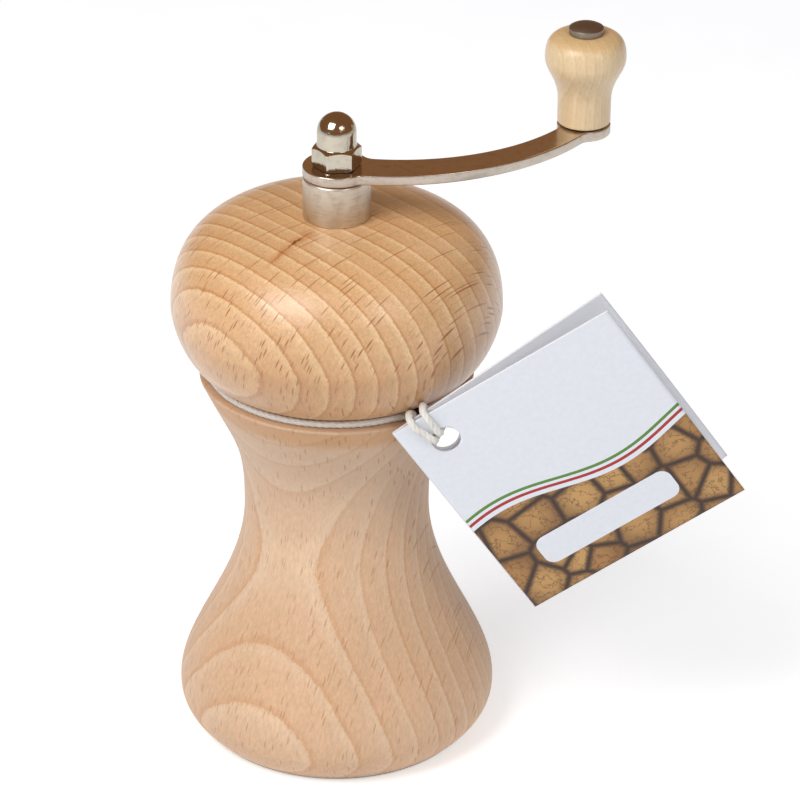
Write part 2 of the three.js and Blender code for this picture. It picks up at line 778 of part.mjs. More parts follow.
mill.add(named('body_shell', bodyShell(), bodyWood));
mill.add(named('blade_plate', bladePlate(), satinSteel));
for (let i = 0; i < screwCount; i += 1) {
  const angle = (i / screwCount) * 2 * Math.PI;
  const place = [screwCircle * Math.cos(angle), screwCircle * Math.sin(angle), 0];
  mill.add(named(`blade_screw_${i + 1}`, bladeScrew(), satinSteel, place));
}

mill.add(named('head_block', headBlock(), headWood));
mill.add(named('collar', collar(), satinSteel));
mill.add(named('collar_washer', collarWasher(), satinSteel));
mill.add(named('collar_nut', collarNut(), satinSteel));
mill.add(named('thrust_washer', thrustWasher(), satinSteel));

mill.add(named('shaft', shaft(), satinSteel));
mill.add(named('crank_arm', crankArm(), polishedSteel));
mill.add(named('cap_nut', capNut(), polishedSteel, [0, 0, capNutBottom]));
mill.add(named('claw_plate', clawPlate(), satinSteel));
mill.add(named('claw_nut', clawNut(), satinSteel));
const wire = springPoints();
mill.add(named('spring', tube(wire, springWire / 2, 5), springSteel));
console.log(`least gap of the spring to itself: ${leastSelfGap(wire, springWire, 5).toFixed(2)} mm`);

const end = crankEnd();
mill.add(named('knob_washer', knobWasher(), satinSteel, [end.x, end.y, knobWasherBottom]));
mill.add(named('knob_rivet', knobRivet(), polishedSteel, [end.x, end.y, knobBottom]));
mill.add(named('knob_grip', knobGrip(), knobWood, [end.x, end.y, knobBottom]));

const tag = named('hang_tag', hangTag(), card, cardCorner.toArray());
tag.rotation.copy(cardTurned());
tag.updateMatrix();
mill.add(tag);
mill.add(named('tag_string', tagString(tag.matrix), cotton));

export default mill;
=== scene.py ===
"""The looks of a hand-cranked nutmeg mill: turned beech, plated steel, a cotton string and a card tag.

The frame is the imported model's: x to the right, y away from the viewer, z up. Shapes are worked out in
millimetres from the mill's own axis, and become metres in the model's frame when a mesh is made.
"""

import logging
import math
from dataclasses import dataclass
from enum import Enum
from typing import Sequence

import bmesh
import bpy
import numpy as np
from mathutils import Matrix, Vector
from mathutils.geometry import tessellate_polygon


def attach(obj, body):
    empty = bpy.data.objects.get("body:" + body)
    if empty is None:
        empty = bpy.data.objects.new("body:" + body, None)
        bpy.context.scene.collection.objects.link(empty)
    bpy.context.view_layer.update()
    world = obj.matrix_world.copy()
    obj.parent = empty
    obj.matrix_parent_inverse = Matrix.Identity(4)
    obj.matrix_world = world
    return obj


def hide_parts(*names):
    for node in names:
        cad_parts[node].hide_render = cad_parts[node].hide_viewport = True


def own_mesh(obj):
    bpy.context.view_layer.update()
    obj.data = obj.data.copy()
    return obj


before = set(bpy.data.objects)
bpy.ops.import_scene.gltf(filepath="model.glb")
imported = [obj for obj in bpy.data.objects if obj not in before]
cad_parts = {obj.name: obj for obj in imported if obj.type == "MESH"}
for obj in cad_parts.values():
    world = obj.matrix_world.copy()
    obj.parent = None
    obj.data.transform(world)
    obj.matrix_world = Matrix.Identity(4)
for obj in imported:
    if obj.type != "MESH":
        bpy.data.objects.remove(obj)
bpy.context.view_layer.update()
LOG = logging.getLogger("mill")
Array = np.ndarray
Piece = bpy.types.Object
Material = bpy.types.Material
Tone = tuple[float, float, float]

MILLIMETRE = 0.001
MILL_X = -13.827  # the mill's axis in the model's frame
CORNER_HOLD = 0.12  # from an eased corner to the point that keeps the side beside it flat
MERGE_DISTANCE = 2e-7  # metres, below which two points of a new mesh become one
WELD_DISTANCE = 1e-6  # metres, the same for the plain solids
BEVEL_ANGLE = 32  # degrees between faces above which a plain solid's edge is eased
SHARP = 35  # degrees between faces above which an edge is sharp
TURNED_SHARP = 32  # the same for turned wood
NEVER_SHARP = 180  # the same where no edge is sharp


class Body(Enum):
    """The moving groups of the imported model."""

    MILL = "mill_body"
    HEAD = "head"
    SPINDLE = "spindle"
    CRANK = "crank"
    KNOB = "knob"
    TAG = "tag"


# Curves and profiles


def bezier(start: Sequence, first: Sequence, second: Sequence, end: Sequence, steps: int) -> Array:
    """Points of a cubic curve: (1-t)^3 start + 3(1-t)^2 t first + 3(1-t)t^2 second + t^3 end.

    Args:
        start: Where the curve begins.
        first: The handle that it leaves towards.
        second: The handle that it arrives from.
        end: Where it ends.
        steps: Stretches along the curve.

    Returns:
        The points, one a row.
    """
    t = np.linspace(0, 1, steps + 1)[:, None]
    a, b, c, d = (np.asarray(p, float) for p in (start, first, second, end))
    return (1 - t) ** 3 * a + 3 * (1 - t) ** 2 * t * b + 3 * (1 - t) * t**2 * c + t**3 * d


def arc(centre: Sequence, radius: float, first: float, last: float, steps: int) -> Array:
    """Points of a circle's arc: centre + radius (cos a, sin a), with a from first to last in radians.

    Args:
        centre: The circle's middle.
        radius: Its radius.
        first: Angle of the first point.
        last: Angle of the last point.
        steps: Stretches along the arc.

    Returns:
        The points, one a row.
    """
    angle = np.linspace(first, last, steps + 1)
    return np.asarray(centre, float) + radius * np.column_stack([np.cos(angle), np.sin(angle)])


def eased(corners: Sequence[tuple[float, float, float]], closed: bool = True, steps: int = 5) -> Array:
    """A line through corners, each eased by an arc, with a close point before and after the arc.

    The arc of radius r at a corner whose sides open by 2b touches them r / tan b from the corner, and
    its centre lies r / sin b away on the line that halves the corner.

    Args:
        corners: Across, up and easing radius of each corner.
        closed: Whether the line comes back to its first corner.
        steps: Stretches in each arc.

    Returns:
        The points, one a row.
    """
    points = [np.array(c[:2], float) for c in corners]
    count = len(points)
    line = []
    for i, (corner, (_, _, radius)) in enumerate(zip(points, corners)):
        is_end = not closed and i in (0, count - 1)
        if radius == 0 or is_end:
            line.append(corner[None])
            continue
        back = points[i - 1] - corner
        ahead = points[(i + 1) % count] - corner
        back_length, ahead_length = np.linalg.norm(back), np.linalg.norm(ahead)
        back, ahead = back / back_length, ahead / ahead_length
        half = math.acos(np.clip(back @ ahead, -1, 1)) / 2
        reach = radius / math.tan(half)
        middle = corner + (back + ahead) / np.linalg.norm(back + ahead) * radius / math.sin(half)
        begin = math.atan2(*(corner + back * reach - middle)[::-1])
        end = math.atan2(*(corner + ahead * reach - middle)[::-1])
        sweep = (end - begin + math.pi) % (2 * math.pi) - math.pi
        bend = [arc(middle, radius, begin, begin + sweep, steps)]
        if back_length > 2 * (reach + CORNER_HOLD):
            bend.insert(0, (corner + back * (reach + CORNER_HOLD))[None])
        if ahead_length > 2 * (reach + CORNER_HOLD):
            bend.append((corner + ahead * (reach + CORNER_HOLD))[None])
        line.extend(bend)
    return np.vstack(line)


def whole_turn(count: int) -> Array:
    """The angles of a whole turn in even steps, without the last, which is the first again."""
    return np.arange(count) * 2 * math.pi / count


def run_along(line: Array) -> Array:
    """The way from a line's start to each of its points."""
    gaps = np.linalg.norm(np.diff(line, axis=0), axis=1)
    return np.concatenate([[0], np.cumsum(gaps)])


def points_at(line: Array, stations: Array) -> Array:
    """The points of a line at given ways from its start."""
    run = run_along(line)
    return np.column_stack([np.interp(stations, run, share) for share in line.T])


def turned(profile: Array, segments: int = 160, centre: Sequence = (0, 0), bottom: float = 0) -> Array:
    """A profile of radius and height carried round an upright axis: (r cos a, r sin a, z).

    Args:
        profile: Radius and height, anticlockwise, one point a row.
        segments: Stretches round the axis.
        centre: Where the axis stands.
        bottom: Height of the profile's zero.

    Returns:
        The grid of points, profile by angle.
    """
    angle = whole_turn(segments)
    radius, height = profile[:, :1], profile[:, 1:]
    x = centre[0] + radius * np.cos(angle)
    y = centre[1] + radius * np.sin(angle)
    return np.stack([x, y, np.broadcast_to(height + bottom, x.shape)], axis=-1)


def smooth_route(points: Array, steps: int) -> Array:
    """A centripetal Catmull-Rom curve: cubic stretches through points, eased by the root of each gap.

    Args:
        points: The points that it passes through.
        steps: Stretches along the whole curve.

    Returns:
        The curve's points, one a row.
    """
    extended = np.vstack([2 * points[0] - points[1], points, 2 * points[-1] - points[-2]])
    share = np.linspace(0, len(points) - 1, steps + 1)
    index = np.minimum(share.astype(int), len(points) - 2)
    w = (share - index)[:, None]
    before, start, end, after = (extended[index + i] for i in range(4))
    gap0, gap1, gap2 = (
        np.sqrt(np.linalg.norm(b - a, axis=1))[:, None]
        for a, b in ((before, start), (start, end), (end, after))
    )
    leaving = ((start - before) / gap0 - (end - before) / (gap0 + gap1) + (end - start) / gap1) * gap1
    arriving = ((end - start) / gap1 - (after - start) / (gap1 + gap2) + (after - end) / gap2) * gap1
    second = -3 * start + 3 * end - 2 * leaving - arriving
    third = 2 * start - 2 * end + leaving + arriving
    return start + leaving * w + second * w**2 + third * w**3


def carried_frames(path: Array) -> tuple[Array, Array, Array]:
    """Directions along, across and beside a path, twisted as little as possible between stations.

    Args:
        path: The stations, one a row.

    Returns:
        Unit directions along, across and beside each station.
    """
    along = np.gradient(path, axis=0)
    along /= np.linalg.norm(along, axis=1, keepdims=True)
    least = np.eye(3)[np.argmin(np.abs(along[0]))]
    across = [np.cross(along[0], least)]
    for direction in along[1:]:
        across.append(across[-1] - (across[-1] @ direction) * direction)
    across = np.array(across)
    across /= np.linalg.norm(across, axis=1, keepdims=True)
    return along, across, np.cross(along, across)


def tube(path: Array, radius: Array) -> Array:
    """A section carried along a path: station + r(station, angle) (across cos a + beside sin a).

    Args:
        path: The stations, one a row.
        radius: Radius at each station and angle.

    Returns:
        The grid of points, station by angle, closed by a middle point at each end.
    """
    _, across, beside = carried_frames(path)
    angle = whole_turn(radius.shape[1])
    round_it = across[:, None] * np.cos(angle)[:, None] + beside[:, None] * np.sin(angle)[:, None]
    grid = path[:, None] + radius[..., None] * round_it
    first = np.broadcast_to(path[0], grid[0].shape)
    last = np.broadcast_to(path[-1], grid[0].shape)
    return np.concatenate([first[None], grid, last[None]])


# Meshes


def grid_faces(rows: int, columns: int, round_rows: bool, round_columns: bool = True) -> Array:
    """The four corners of each cell of a grid, as indices of its points taken row by row.

    Args:
        rows: Points one way.
        columns: Points the other way.
        round_rows: Whether the last row joins the first.
        round_columns: Whether the last column joins the first.

    Returns:
        Four indices a row.
    """
    i = np.arange(rows if round_rows else rows - 1)[:, None]
    j = np.arange(columns if round_columns else columns - 1)[None]
    below, above = i * columns, (i + 1) % rows * columns
    left, right = j, (j + 1) % columns
    return np.stack([below + left, below + right, above + right, above + left], axis=-1).reshape(-1, 4)


def mesh_piece(name: str, points: Array, faces: list, sharp: float = SHARP) -> Piece:
    """Makes a smooth-shaded piece, with its doubles merged and its sharp edges marked.

    Args:
        name: The piece's name.
        points: Its points, in millimetres from the mill's axis.
        faces: Indices of each face's corners, anticlockwise from outside.
        sharp: Degrees between faces above which an edge is sharp.

    Returns:
        The new object.
    """
    placed = (points.reshape(-1, 3) + (MILL_X, 0, 0)) * MILLIMETRE
    mesh = bpy.data.meshes.new(name)
    mesh.from_pydata(placed.tolist(), [], faces)
    work = bmesh.new()
    work.from_mesh(mesh)
    bmesh.ops.remove_doubles(work, verts=work.verts, dist=MERGE_DISTANCE)
    loose = [v for v in work.verts if not v.link_faces]
    bmesh.ops.delete(work, geom=loose, context="VERTS")
    work.to_mesh(mesh)
    work.free()
    mesh.polygons.foreach_set("use_smooth", np.ones(len(mesh.polygons), bool))
    mesh.set_sharp_from_angle(angle=math.radians(sharp))
    mesh.update()
    piece = bpy.data.objects.new(name, mesh)
    bpy.context.scene.collection.objects.link(piece)
    return piece


def grid_piece(name: str, grid: Array, round_rows: bool = False, sharp: float = SHARP) -> Piece:
    """Makes a piece from one grid whose columns go all the way round.

    Args:
        name: The piece's name.
        grid: Its points, row by column.
        round_rows: Whether the last row joins the first.
        sharp: Degrees between faces above which an edge is sharp.

    Returns:
        The new object.
    """
    faces = grid_faces(grid.shape[0], grid.shape[1], round_rows).tolist()
    return mesh_piece(name, grid, faces, sharp)


def read_values(members: bpy.types.bpy_prop_collection, name: str) -> Array:
    """Reads three numbers of each member of a mesh's list, such as its points' places.

    Args:
        members: The mesh's list of points, faces or normals.
        name: What is read of each.

    Returns:
        The numbers, one member a row.
    """
    values = np.zeros(len(members) * 3, np.float32)
    members.foreach_get(name, values)
    return values.reshape(-1, 3).astype(float)


def mark_end_grain(piece: Piece) -> None:
    """Writes how far each point's surface faces up along the fibres, the normal's upward share; where it
    is negative it places the head's painted underside shade.

    Args:
        piece: A piece whose fibres run up.
    """
    attribute = piece.data.attributes.new("end_grain", "FLOAT", "POINT")
    upward = read_values(piece.data.vertex_normals, "vector")[:, 2]
    attribute.data.foreach_set("value", upward.astype(np.float32))


def map_corners(piece: Piece, name: str, places: Array) -> None:
    """Writes a map in which each face corner has the place of its point.

    Args:
        piece: The piece.
        name: The map's name.
        places: The place of each point on the map.
    """
    mesh = piece.data
    corners = np.zeros(len(mesh.loops), int)
    mesh.loops.foreach_get("vertex_index", corners)
    layer = mesh.uv_layers.new(name=name)
    layer.data.foreach_set("uv", places[corners].astype(np.float32).ravel())


def settle(
    piece: Piece, body: Body, materials: Sequence[Material], nodes: Sequence[str] = ()
) -> Piece:
    """Gives a piece its finish, hangs it on its body and lets it stand for its plain solids.

    Args:
        piece: The finished piece.
        body: The group that it moves with.
        materials: Its materials, in slot order.
        nodes: The plain solids that it stands for.

    Returns:
        The same piece.
    """
    for material in materials:
        piece.data.materials.append(material)
    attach(piece, body.value)
    if nodes:
        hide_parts(*nodes)
    LOG.info("%s: %d faces, on %s", piece.name, len(piece.data.polygons), body.value)
    return piece


def dress_solid(node: str, material: Material, bevel: float = 0.15) -> None:
    """Keeps a plain solid, eases its edges and gives it a finish.

    Args:
        node: The solid's name.
        material: Its finish.
        bevel: Width of its eased edges in millimetres.
    """
    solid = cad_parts[node]
    solid.data.materials.clear()
    solid.data.materials.append(material)
    weld = solid.modifiers.new("one skin", "WELD")
    weld.merge_threshold = WELD_DISTANCE
    ease = solid.modifiers.new("eased edges", "BEVEL")
    ease.width = bevel * MILLIMETRE
    ease.segments = 2
    ease.limit_method = "ANGLE"
    ease.angle_limit = math.radians(BEVEL_ANGLE)
    LOG.info("%s: its own solid, dressed", node)


# Nodes

# Place in a growth ring, from its inner edge, and how light the wood is there.
RING_LEVELS = (
    (0, 0.62), (0.06, 1), (0.16, 0.86), (0.3, 0.62), (0.55, 0.5), (0.85, 0.42), (0.93, 0.06), (0.97, 0)
)
RAY_WIDTH, RAY_HEIGHT, RAY_DEPTH = 0.5, 4.2, 26  # millimetres of the cell that holds one ray
FIBRE_STRETCH = 0.22  # height's share in the fibres' pattern, which draws them out along the trunk


def colour(red: float, green: float, blue: float) -> tuple[float, float, float, float]:
    """A colour written as it looks on screen, as the linear one that shaders take.

    Args:
        red: Level of red, 0 to 255.
        green: Level of green.
        blue: Level of blue.

    Returns:
        The linear levels, 0 to 1, and a full alpha.
    """
    levels = (red / 255, green / 255, blue / 255)
    linear = (v / 12.92 if v <= 0.04045 else ((v + 0.055) / 1.055) ** 2.4 for v in levels)
    return (*linear, 1.0)


class Signal:
    """What a node puts out. +, -, * and / join it to another, or to a number, by a Math node."""

    def __init__(self, graph: "Graph", socket: bpy.types.NodeSocket) -> None:
        """Keeps the socket and the graph that it is in."""
        self.graph = graph
        self.socket = socket

    def __add__(self, other: "Signal | float") -> "Signal":
        """This one plus another."""
        return self.graph.maths("ADD", self, other)

    def __sub__(self, other: "Signal | float") -> "Signal":
        """This one less another."""
        return self.graph.maths("SUBTRACT", self, other)

    def __rsub__(self, other: float) -> "Signal":
        """A number less this one."""
        return self.graph.maths("SUBTRACT", other, self)

    def __mul__(self, other: "Signal | float") -> "Signal":
        """This one times another."""
        return self.graph.maths("MULTIPLY", self, other)

    def __truediv__(self, other: "Signal | float") -> "Signal":
        """This one over another."""
        return self.graph.maths("DIVIDE", self, other)

    def __abs__(self) -> "Signal":
        """This one without its sign."""
        return self.graph.maths("ABSOLUTE", self)


Level = Signal | float


class Graph:
    """Adds the nodes of one material or node group, and joins them."""

    def __init__(self, tree: bpy.types.NodeTree) -> None:
        """Starts from an empty tree."""
        self.tree = tree
        tree.nodes.clear()

    def feed(self, node: bpy.types.Node, inputs: dict) -> None:
        """Joins a node's inputs to signals, or sets their values.

        Args:
            node: The node.
            inputs: Signals or values, by the input's name or number.
        """
        for name, value in inputs.items():
            if isinstance(value, Signal):
                self.tree.links.new(value.socket, node.inputs[name])
            else:
                node.inputs[name].default_value = value

    def add(self, kind: str, inputs: dict | None = None, **settings: object) -> bpy.types.Node:
        """Adds a node with its settings and inputs.

        Args:
            kind: The node's type, without its ShaderNode prefix.
            inputs: Signals or values, by the input's name or number.
            **settings: The node's own properties.

        Returns:
            The node.
        """
        node = self.tree.nodes.new(f"ShaderNode{kind}")
        for name, value in settings.items():
            setattr(node, name, value)
        self.feed(node, inputs or {})
        return node

    def signals(self, node: bpy.types.Node) -> dict[str, Signal]:
        """What a node puts out, by name."""
        return {socket.name: Signal(self, socket) for socket in node.outputs}

    def signal(
        self, kind: str, inputs: dict | None = None, output: int | str = 0, **settings: object
    ) -> Signal:
        """Adds a node like add, and gives one thing that it puts out."""
        return Signal(self, self.add(kind, inputs, **settings).outputs[output])

    def group(self, tree: bpy.types.NodeTree, **inputs: object) -> dict[str, Signal]:
        """Places a node group. Its inputs are named with an underscore for each blank."""
        named = {name.replace("_", " "): value for name, value in inputs.items()}
        return self.signals(self.add("Group", named, node_tree=tree))

    def maths(self, operation: str, *values: Level, clamp: bool = False) -> Signal:
        """The result of a Math node."""
        return self.signal("Math", dict(enumerate(values)), operation=operation, use_clamp=clamp)

    def most(self, first: Signal, *others: Level) -> Signal:
        """The greatest of some values.

        Args:
            first: One of them.
            *others: The rest.

        Returns:
            The greatest.
        """
        for other in others:
            first = self.maths("MAXIMUM", first, other)
        return first

    def reach(self, x: Signal, y: Signal) -> Signal:
        """The length of a line x across and y up: the root of x^2 + y^2."""
        return self.maths("SQRT", x * x + y * y)

    def vector(self, operation: str, first: object, second: object) -> Signal:
        """The result of a Vector Math node on two vectors."""
        return self.signal("VectorMath", {0: first, 1: second}, operation=operation)

    def split(self, vector: Signal) -> tuple[Signal, ...]:
        """The three shares of a vector."""
        return tuple(self.signals(self.add("SeparateXYZ", {0: vector})).values())

    def join(self, x: Level, y: Level, z: Level) -> Signal:
        """A vector from three shares."""
        return self.signal("CombineXYZ", {0: x, 1: y, 2: z})

    def mix(self, share: Level, first: object, second: object, mode: str = "MIX") -> Signal:
        """Two colours mixed by a share. In the mode MULTIPLY the second one tints the first."""
        inputs = {0: share, 6: first, 7: second}
        return self.signal("Mix", inputs, 2, data_type="RGBA", blend_type=mode)

    def ease(self, value: Signal, low: float, high: float, start: float = 0, end: float = 1) -> Signal:
        """A smooth step from start to end while a value goes from low to high."""
        inputs = {"Value": value, "From Min": low, "From Max": high, "To Min": start, "To Max": end}
        return self.signal("MapRange", inputs, interpolation_type="SMOOTHSTEP")

    def ramp(self, value: Signal, stops: Sequence[tuple[float, float]]) -> Signal:
        """A grey ramp.

        Args:
            value: The place on the ramp, 0 to 1.
            stops: Places with their levels, from low to high.

        Returns:
            The level at that place.
        """
        node = self.add("ValToRGB", {0: value})
        elements = node.color_ramp.elements
        while len(elements) < len(stops):
            elements.new(0.5)
        for element, (place, level) in zip(elements, stops):
            element.position = place
            element.color = (level, level, level, 1)
        return Signal(self, node.outputs["Color"])

    def noise(self, position: Signal, scale: float, detail: float = 2, rough: float = 0.5) -> Signal:
        """The level of a noise, about 0.5 on average."""
        inputs = {"Vector": position, "Scale": scale, "Detail": detail, "Roughness": rough}
        return self.signal("TexNoise", inputs)

    def wobble(self, position: Signal, scale: float, detail: float = 2) -> Signal:
        """A noise that swings about nought."""
        return self.noise(position, scale, detail) - 0.5

    def bump(self, height: Signal, strength: float, distance: float) -> Signal:
        """The normal over a relief, whose distance is in millimetres."""
        inputs = {"Height": height, "Strength": strength, "Distance": distance * MILLIMETRE}
        return self.signal("Bump", inputs)

    def here(self) -> Signal:
        """The shaded point in millimetres of the model's frame."""
        place = self.signal("TexCoord", output="Object")
        return self.signal("VectorMath", {0: place, 3: 1 / MILLIMETRE}, operation="SCALE")


class Socket(Enum):
    """Kinds of socket that the groups below take and give."""

    NUMBER = "NodeSocketFloat"
    VECTOR = "NodeSocketVector"


def new_group(name: str, vectors: Sequence[str], numbers: Sequence[str], results: Sequence[str]) -> tuple:
    """Starts a node group with named sockets.

    Args:
        name: The group's name.
        vectors: Its inputs that are vectors.
        numbers: Its inputs that are numbers.
        results: Its outputs, all of them numbers.

    Returns:
        The tree, its graph, what comes in by name, and the node that takes the results.
    """
    tree = bpy.data.node_groups.new(name, "ShaderNodeTree")
    for labels, side, kind in (
        (vectors, "INPUT", Socket.VECTOR),
        (numbers, "INPUT", Socket.NUMBER),
        (results, "OUTPUT", Socket.NUMBER),
    ):
        for label in labels:
            tree.interface.new_socket(label, in_out=side, socket_type=kind.value)
    graph = Graph(tree)
    given = graph.signals(tree.nodes.new("NodeGroupInput"))
    return tree, graph, given, tree.nodes.new("NodeGroupOutput")


def empty_material(name: str) -> tuple[Material, Graph]:
    """Starts a material with no nodes yet.

    Args:
        name: The material's name.

    Returns:
        The material and its graph.
    """
    material = bpy.data.materials.new(name)
    material.use_nodes = True
    return material, Graph(material.node_tree)


def new_material(name: str) -> tuple[Material, Graph, bpy.types.Node]:
    """Starts a material with one Principled shader.

    Args:
        name: The material's name.

    Returns:
        The material, its graph and its shader.
    """
    material, graph = empty_material(name)
    shader = graph.add("BsdfPrincipled")
    graph.add("OutputMaterial", {"Surface": Signal(graph, shader.outputs[0])})
    return material, graph, shader


def beech_grain() -> bpy.types.NodeTree:
    """Growth rings, rays and fibres of a piece cut beside the pith of a beech trunk.

    Rings are cylinders about the pith line. With u = (distance - first) / width, a ring's number is
    u (1 + u crowding), so that rings grow narrower outwards. Below the swell's height the trunk widens
    towards its root, which adds swell (height below it)^2 to the distance. Each ring starts with a light
    line, fades outwards and ends with a thin dark line. Rays are thin blades that lie along the fibres
    and point at the pith, so they are cells drawn out in height and towards the pith. Rays and fibres
    lean sideways by the slant.

    Returns:
        The node group.
    """
    tree, g, given, wanted = new_group(
        "beech grain",
        ("Position", "Pith", "Lean"),
        ("Distance", "First ring", "Ring width", "Crowding", "Swell", "Swell height", "Slant", "Wander"),
        ("Ring", "Ray", "Fibre", "Cloud"),
    )
    position = given["Position"]
    x, y, z = g.split(g.vector("SUBTRACT", position, given["Pith"]))
    lean_x, lean_y, _ = g.split(given["Lean"])
    x, y = x - lean_x * z, y - lean_y * z
    distance = g.reach(x, y)
    tangent = g.maths("ARCTAN2", x, y * -1) * given["Distance"] - z * given["Slant"]
    below = g.most(given["Swell height"] - g.split(position)[2], 0)
    swell = below * below * given["Swell"]
    # The boundaries wander along the trunk, shiver, and are ragged on the scale of a cell row.
    slow, quick, ragged = g.wobble(position, 0.045, 1), g.wobble(position, 0.45), g.wobble(position, 1.7)
    wander = slow * given["Wander"] + quick * 0.35 + ragged * 0.5
    u = (distance + swell + wander - given["First ring"]) / given["Ring width"]
    counted = u * (u * given["Crowding"] + 1)
    level = g.ramp(g.maths("FRACT", counted), RING_LEVELS)
    number = g.maths("FLOOR", counted)
    chance = g.signal("TexWhiteNoise", {"W": number}, "Value", noise_dimensions="1D")
    ring = g.maths("ADD", (level - 0.5) * (chance * 0.6 + 0.6), 0.5, clamp=True)
    blade = g.join(tangent / RAY_WIDTH, z / RAY_HEIGHT, distance / RAY_DEPTH)
    cell = g.signals(g.add("TexVoronoi", {"Vector": blade, "Scale": 1.0}))
    ray = g.ease(cell["Distance"], 0.14, 0.36, 1, 0) * g.ease(g.split(cell["Color"])[0], 0.12, 0.88)
    thread = g.join(tangent, z * FIBRE_STRETCH, distance)
    fibre = g.noise(thread, 2.1, 3, 0.7) * 0.8 + g.noise(thread, 0.8) * 0.2
    g.feed(wanted, {"Ring": ring, "Ray": ray, "Fibre": fibre, "Cloud": g.noise(position, 0.035)})
    return tree


def metal_wear() -> bpy.types.NodeTree:
    """Fine turning lines, faint blotches and small dents of plated steel.

    The turning lines are a noise drawn out across the piece and fine in height. The dents are sparse
    cells.

    Returns:
        The node group.
    """
    results = ("Line", "Blotch", "Dent")
    tree, g, given, wanted = new_group("metal wear", ("Position", "Along"), (), results)
    position = given["Position"]
    line = g.noise(g.vector("MULTIPLY", position, given["Along"]), 1.0, 3, 0.6)
    cell = g.signal("TexVoronoi", {"Vector": position, "Scale": 0.7}, "Distance")
    dent = g.ease(cell, 0.08, 0.2, 1, 0)
    g.feed(wanted, {"Line": line, "Blotch": g.noise(position, 0.5, 3, 0.55), "Dent": dent})
    return tree


BEECH_GRAIN = beech_grain()
METAL_WEAR = metal_wear()


# Finishes

# Painted light on the body: a grey painted shade on the undercut neck, and a grey painted reflection of
# the pale floor on the foot's edge.
NECK_PAINTED_SHADE = (205, 182, 160)
FOOT_PAINTED_REFLECTION = (186, 172, 156)
FOOT_REFLECTION_HEIGHTS = (0.4, 2.0)  # heights between which the painted reflection on the foot's edge fades
RIM_WARMTH = (248, 228, 204)
RIM_BLUR = (1.5, 0.6)  # millimetres either way over which the rim's warmth comes in and goes
SCAR_TONES = ((232, 188, 150), (172, 106, 58), (96, 52, 26))  # the check's halo, core and heart
SCAR_HEIGHTS = (112, 118)
SCAR_HEART = 0.42
DULLING = (0.86, 0.85, 0.83, 1)  # what a dull patch of steel keeps of each level


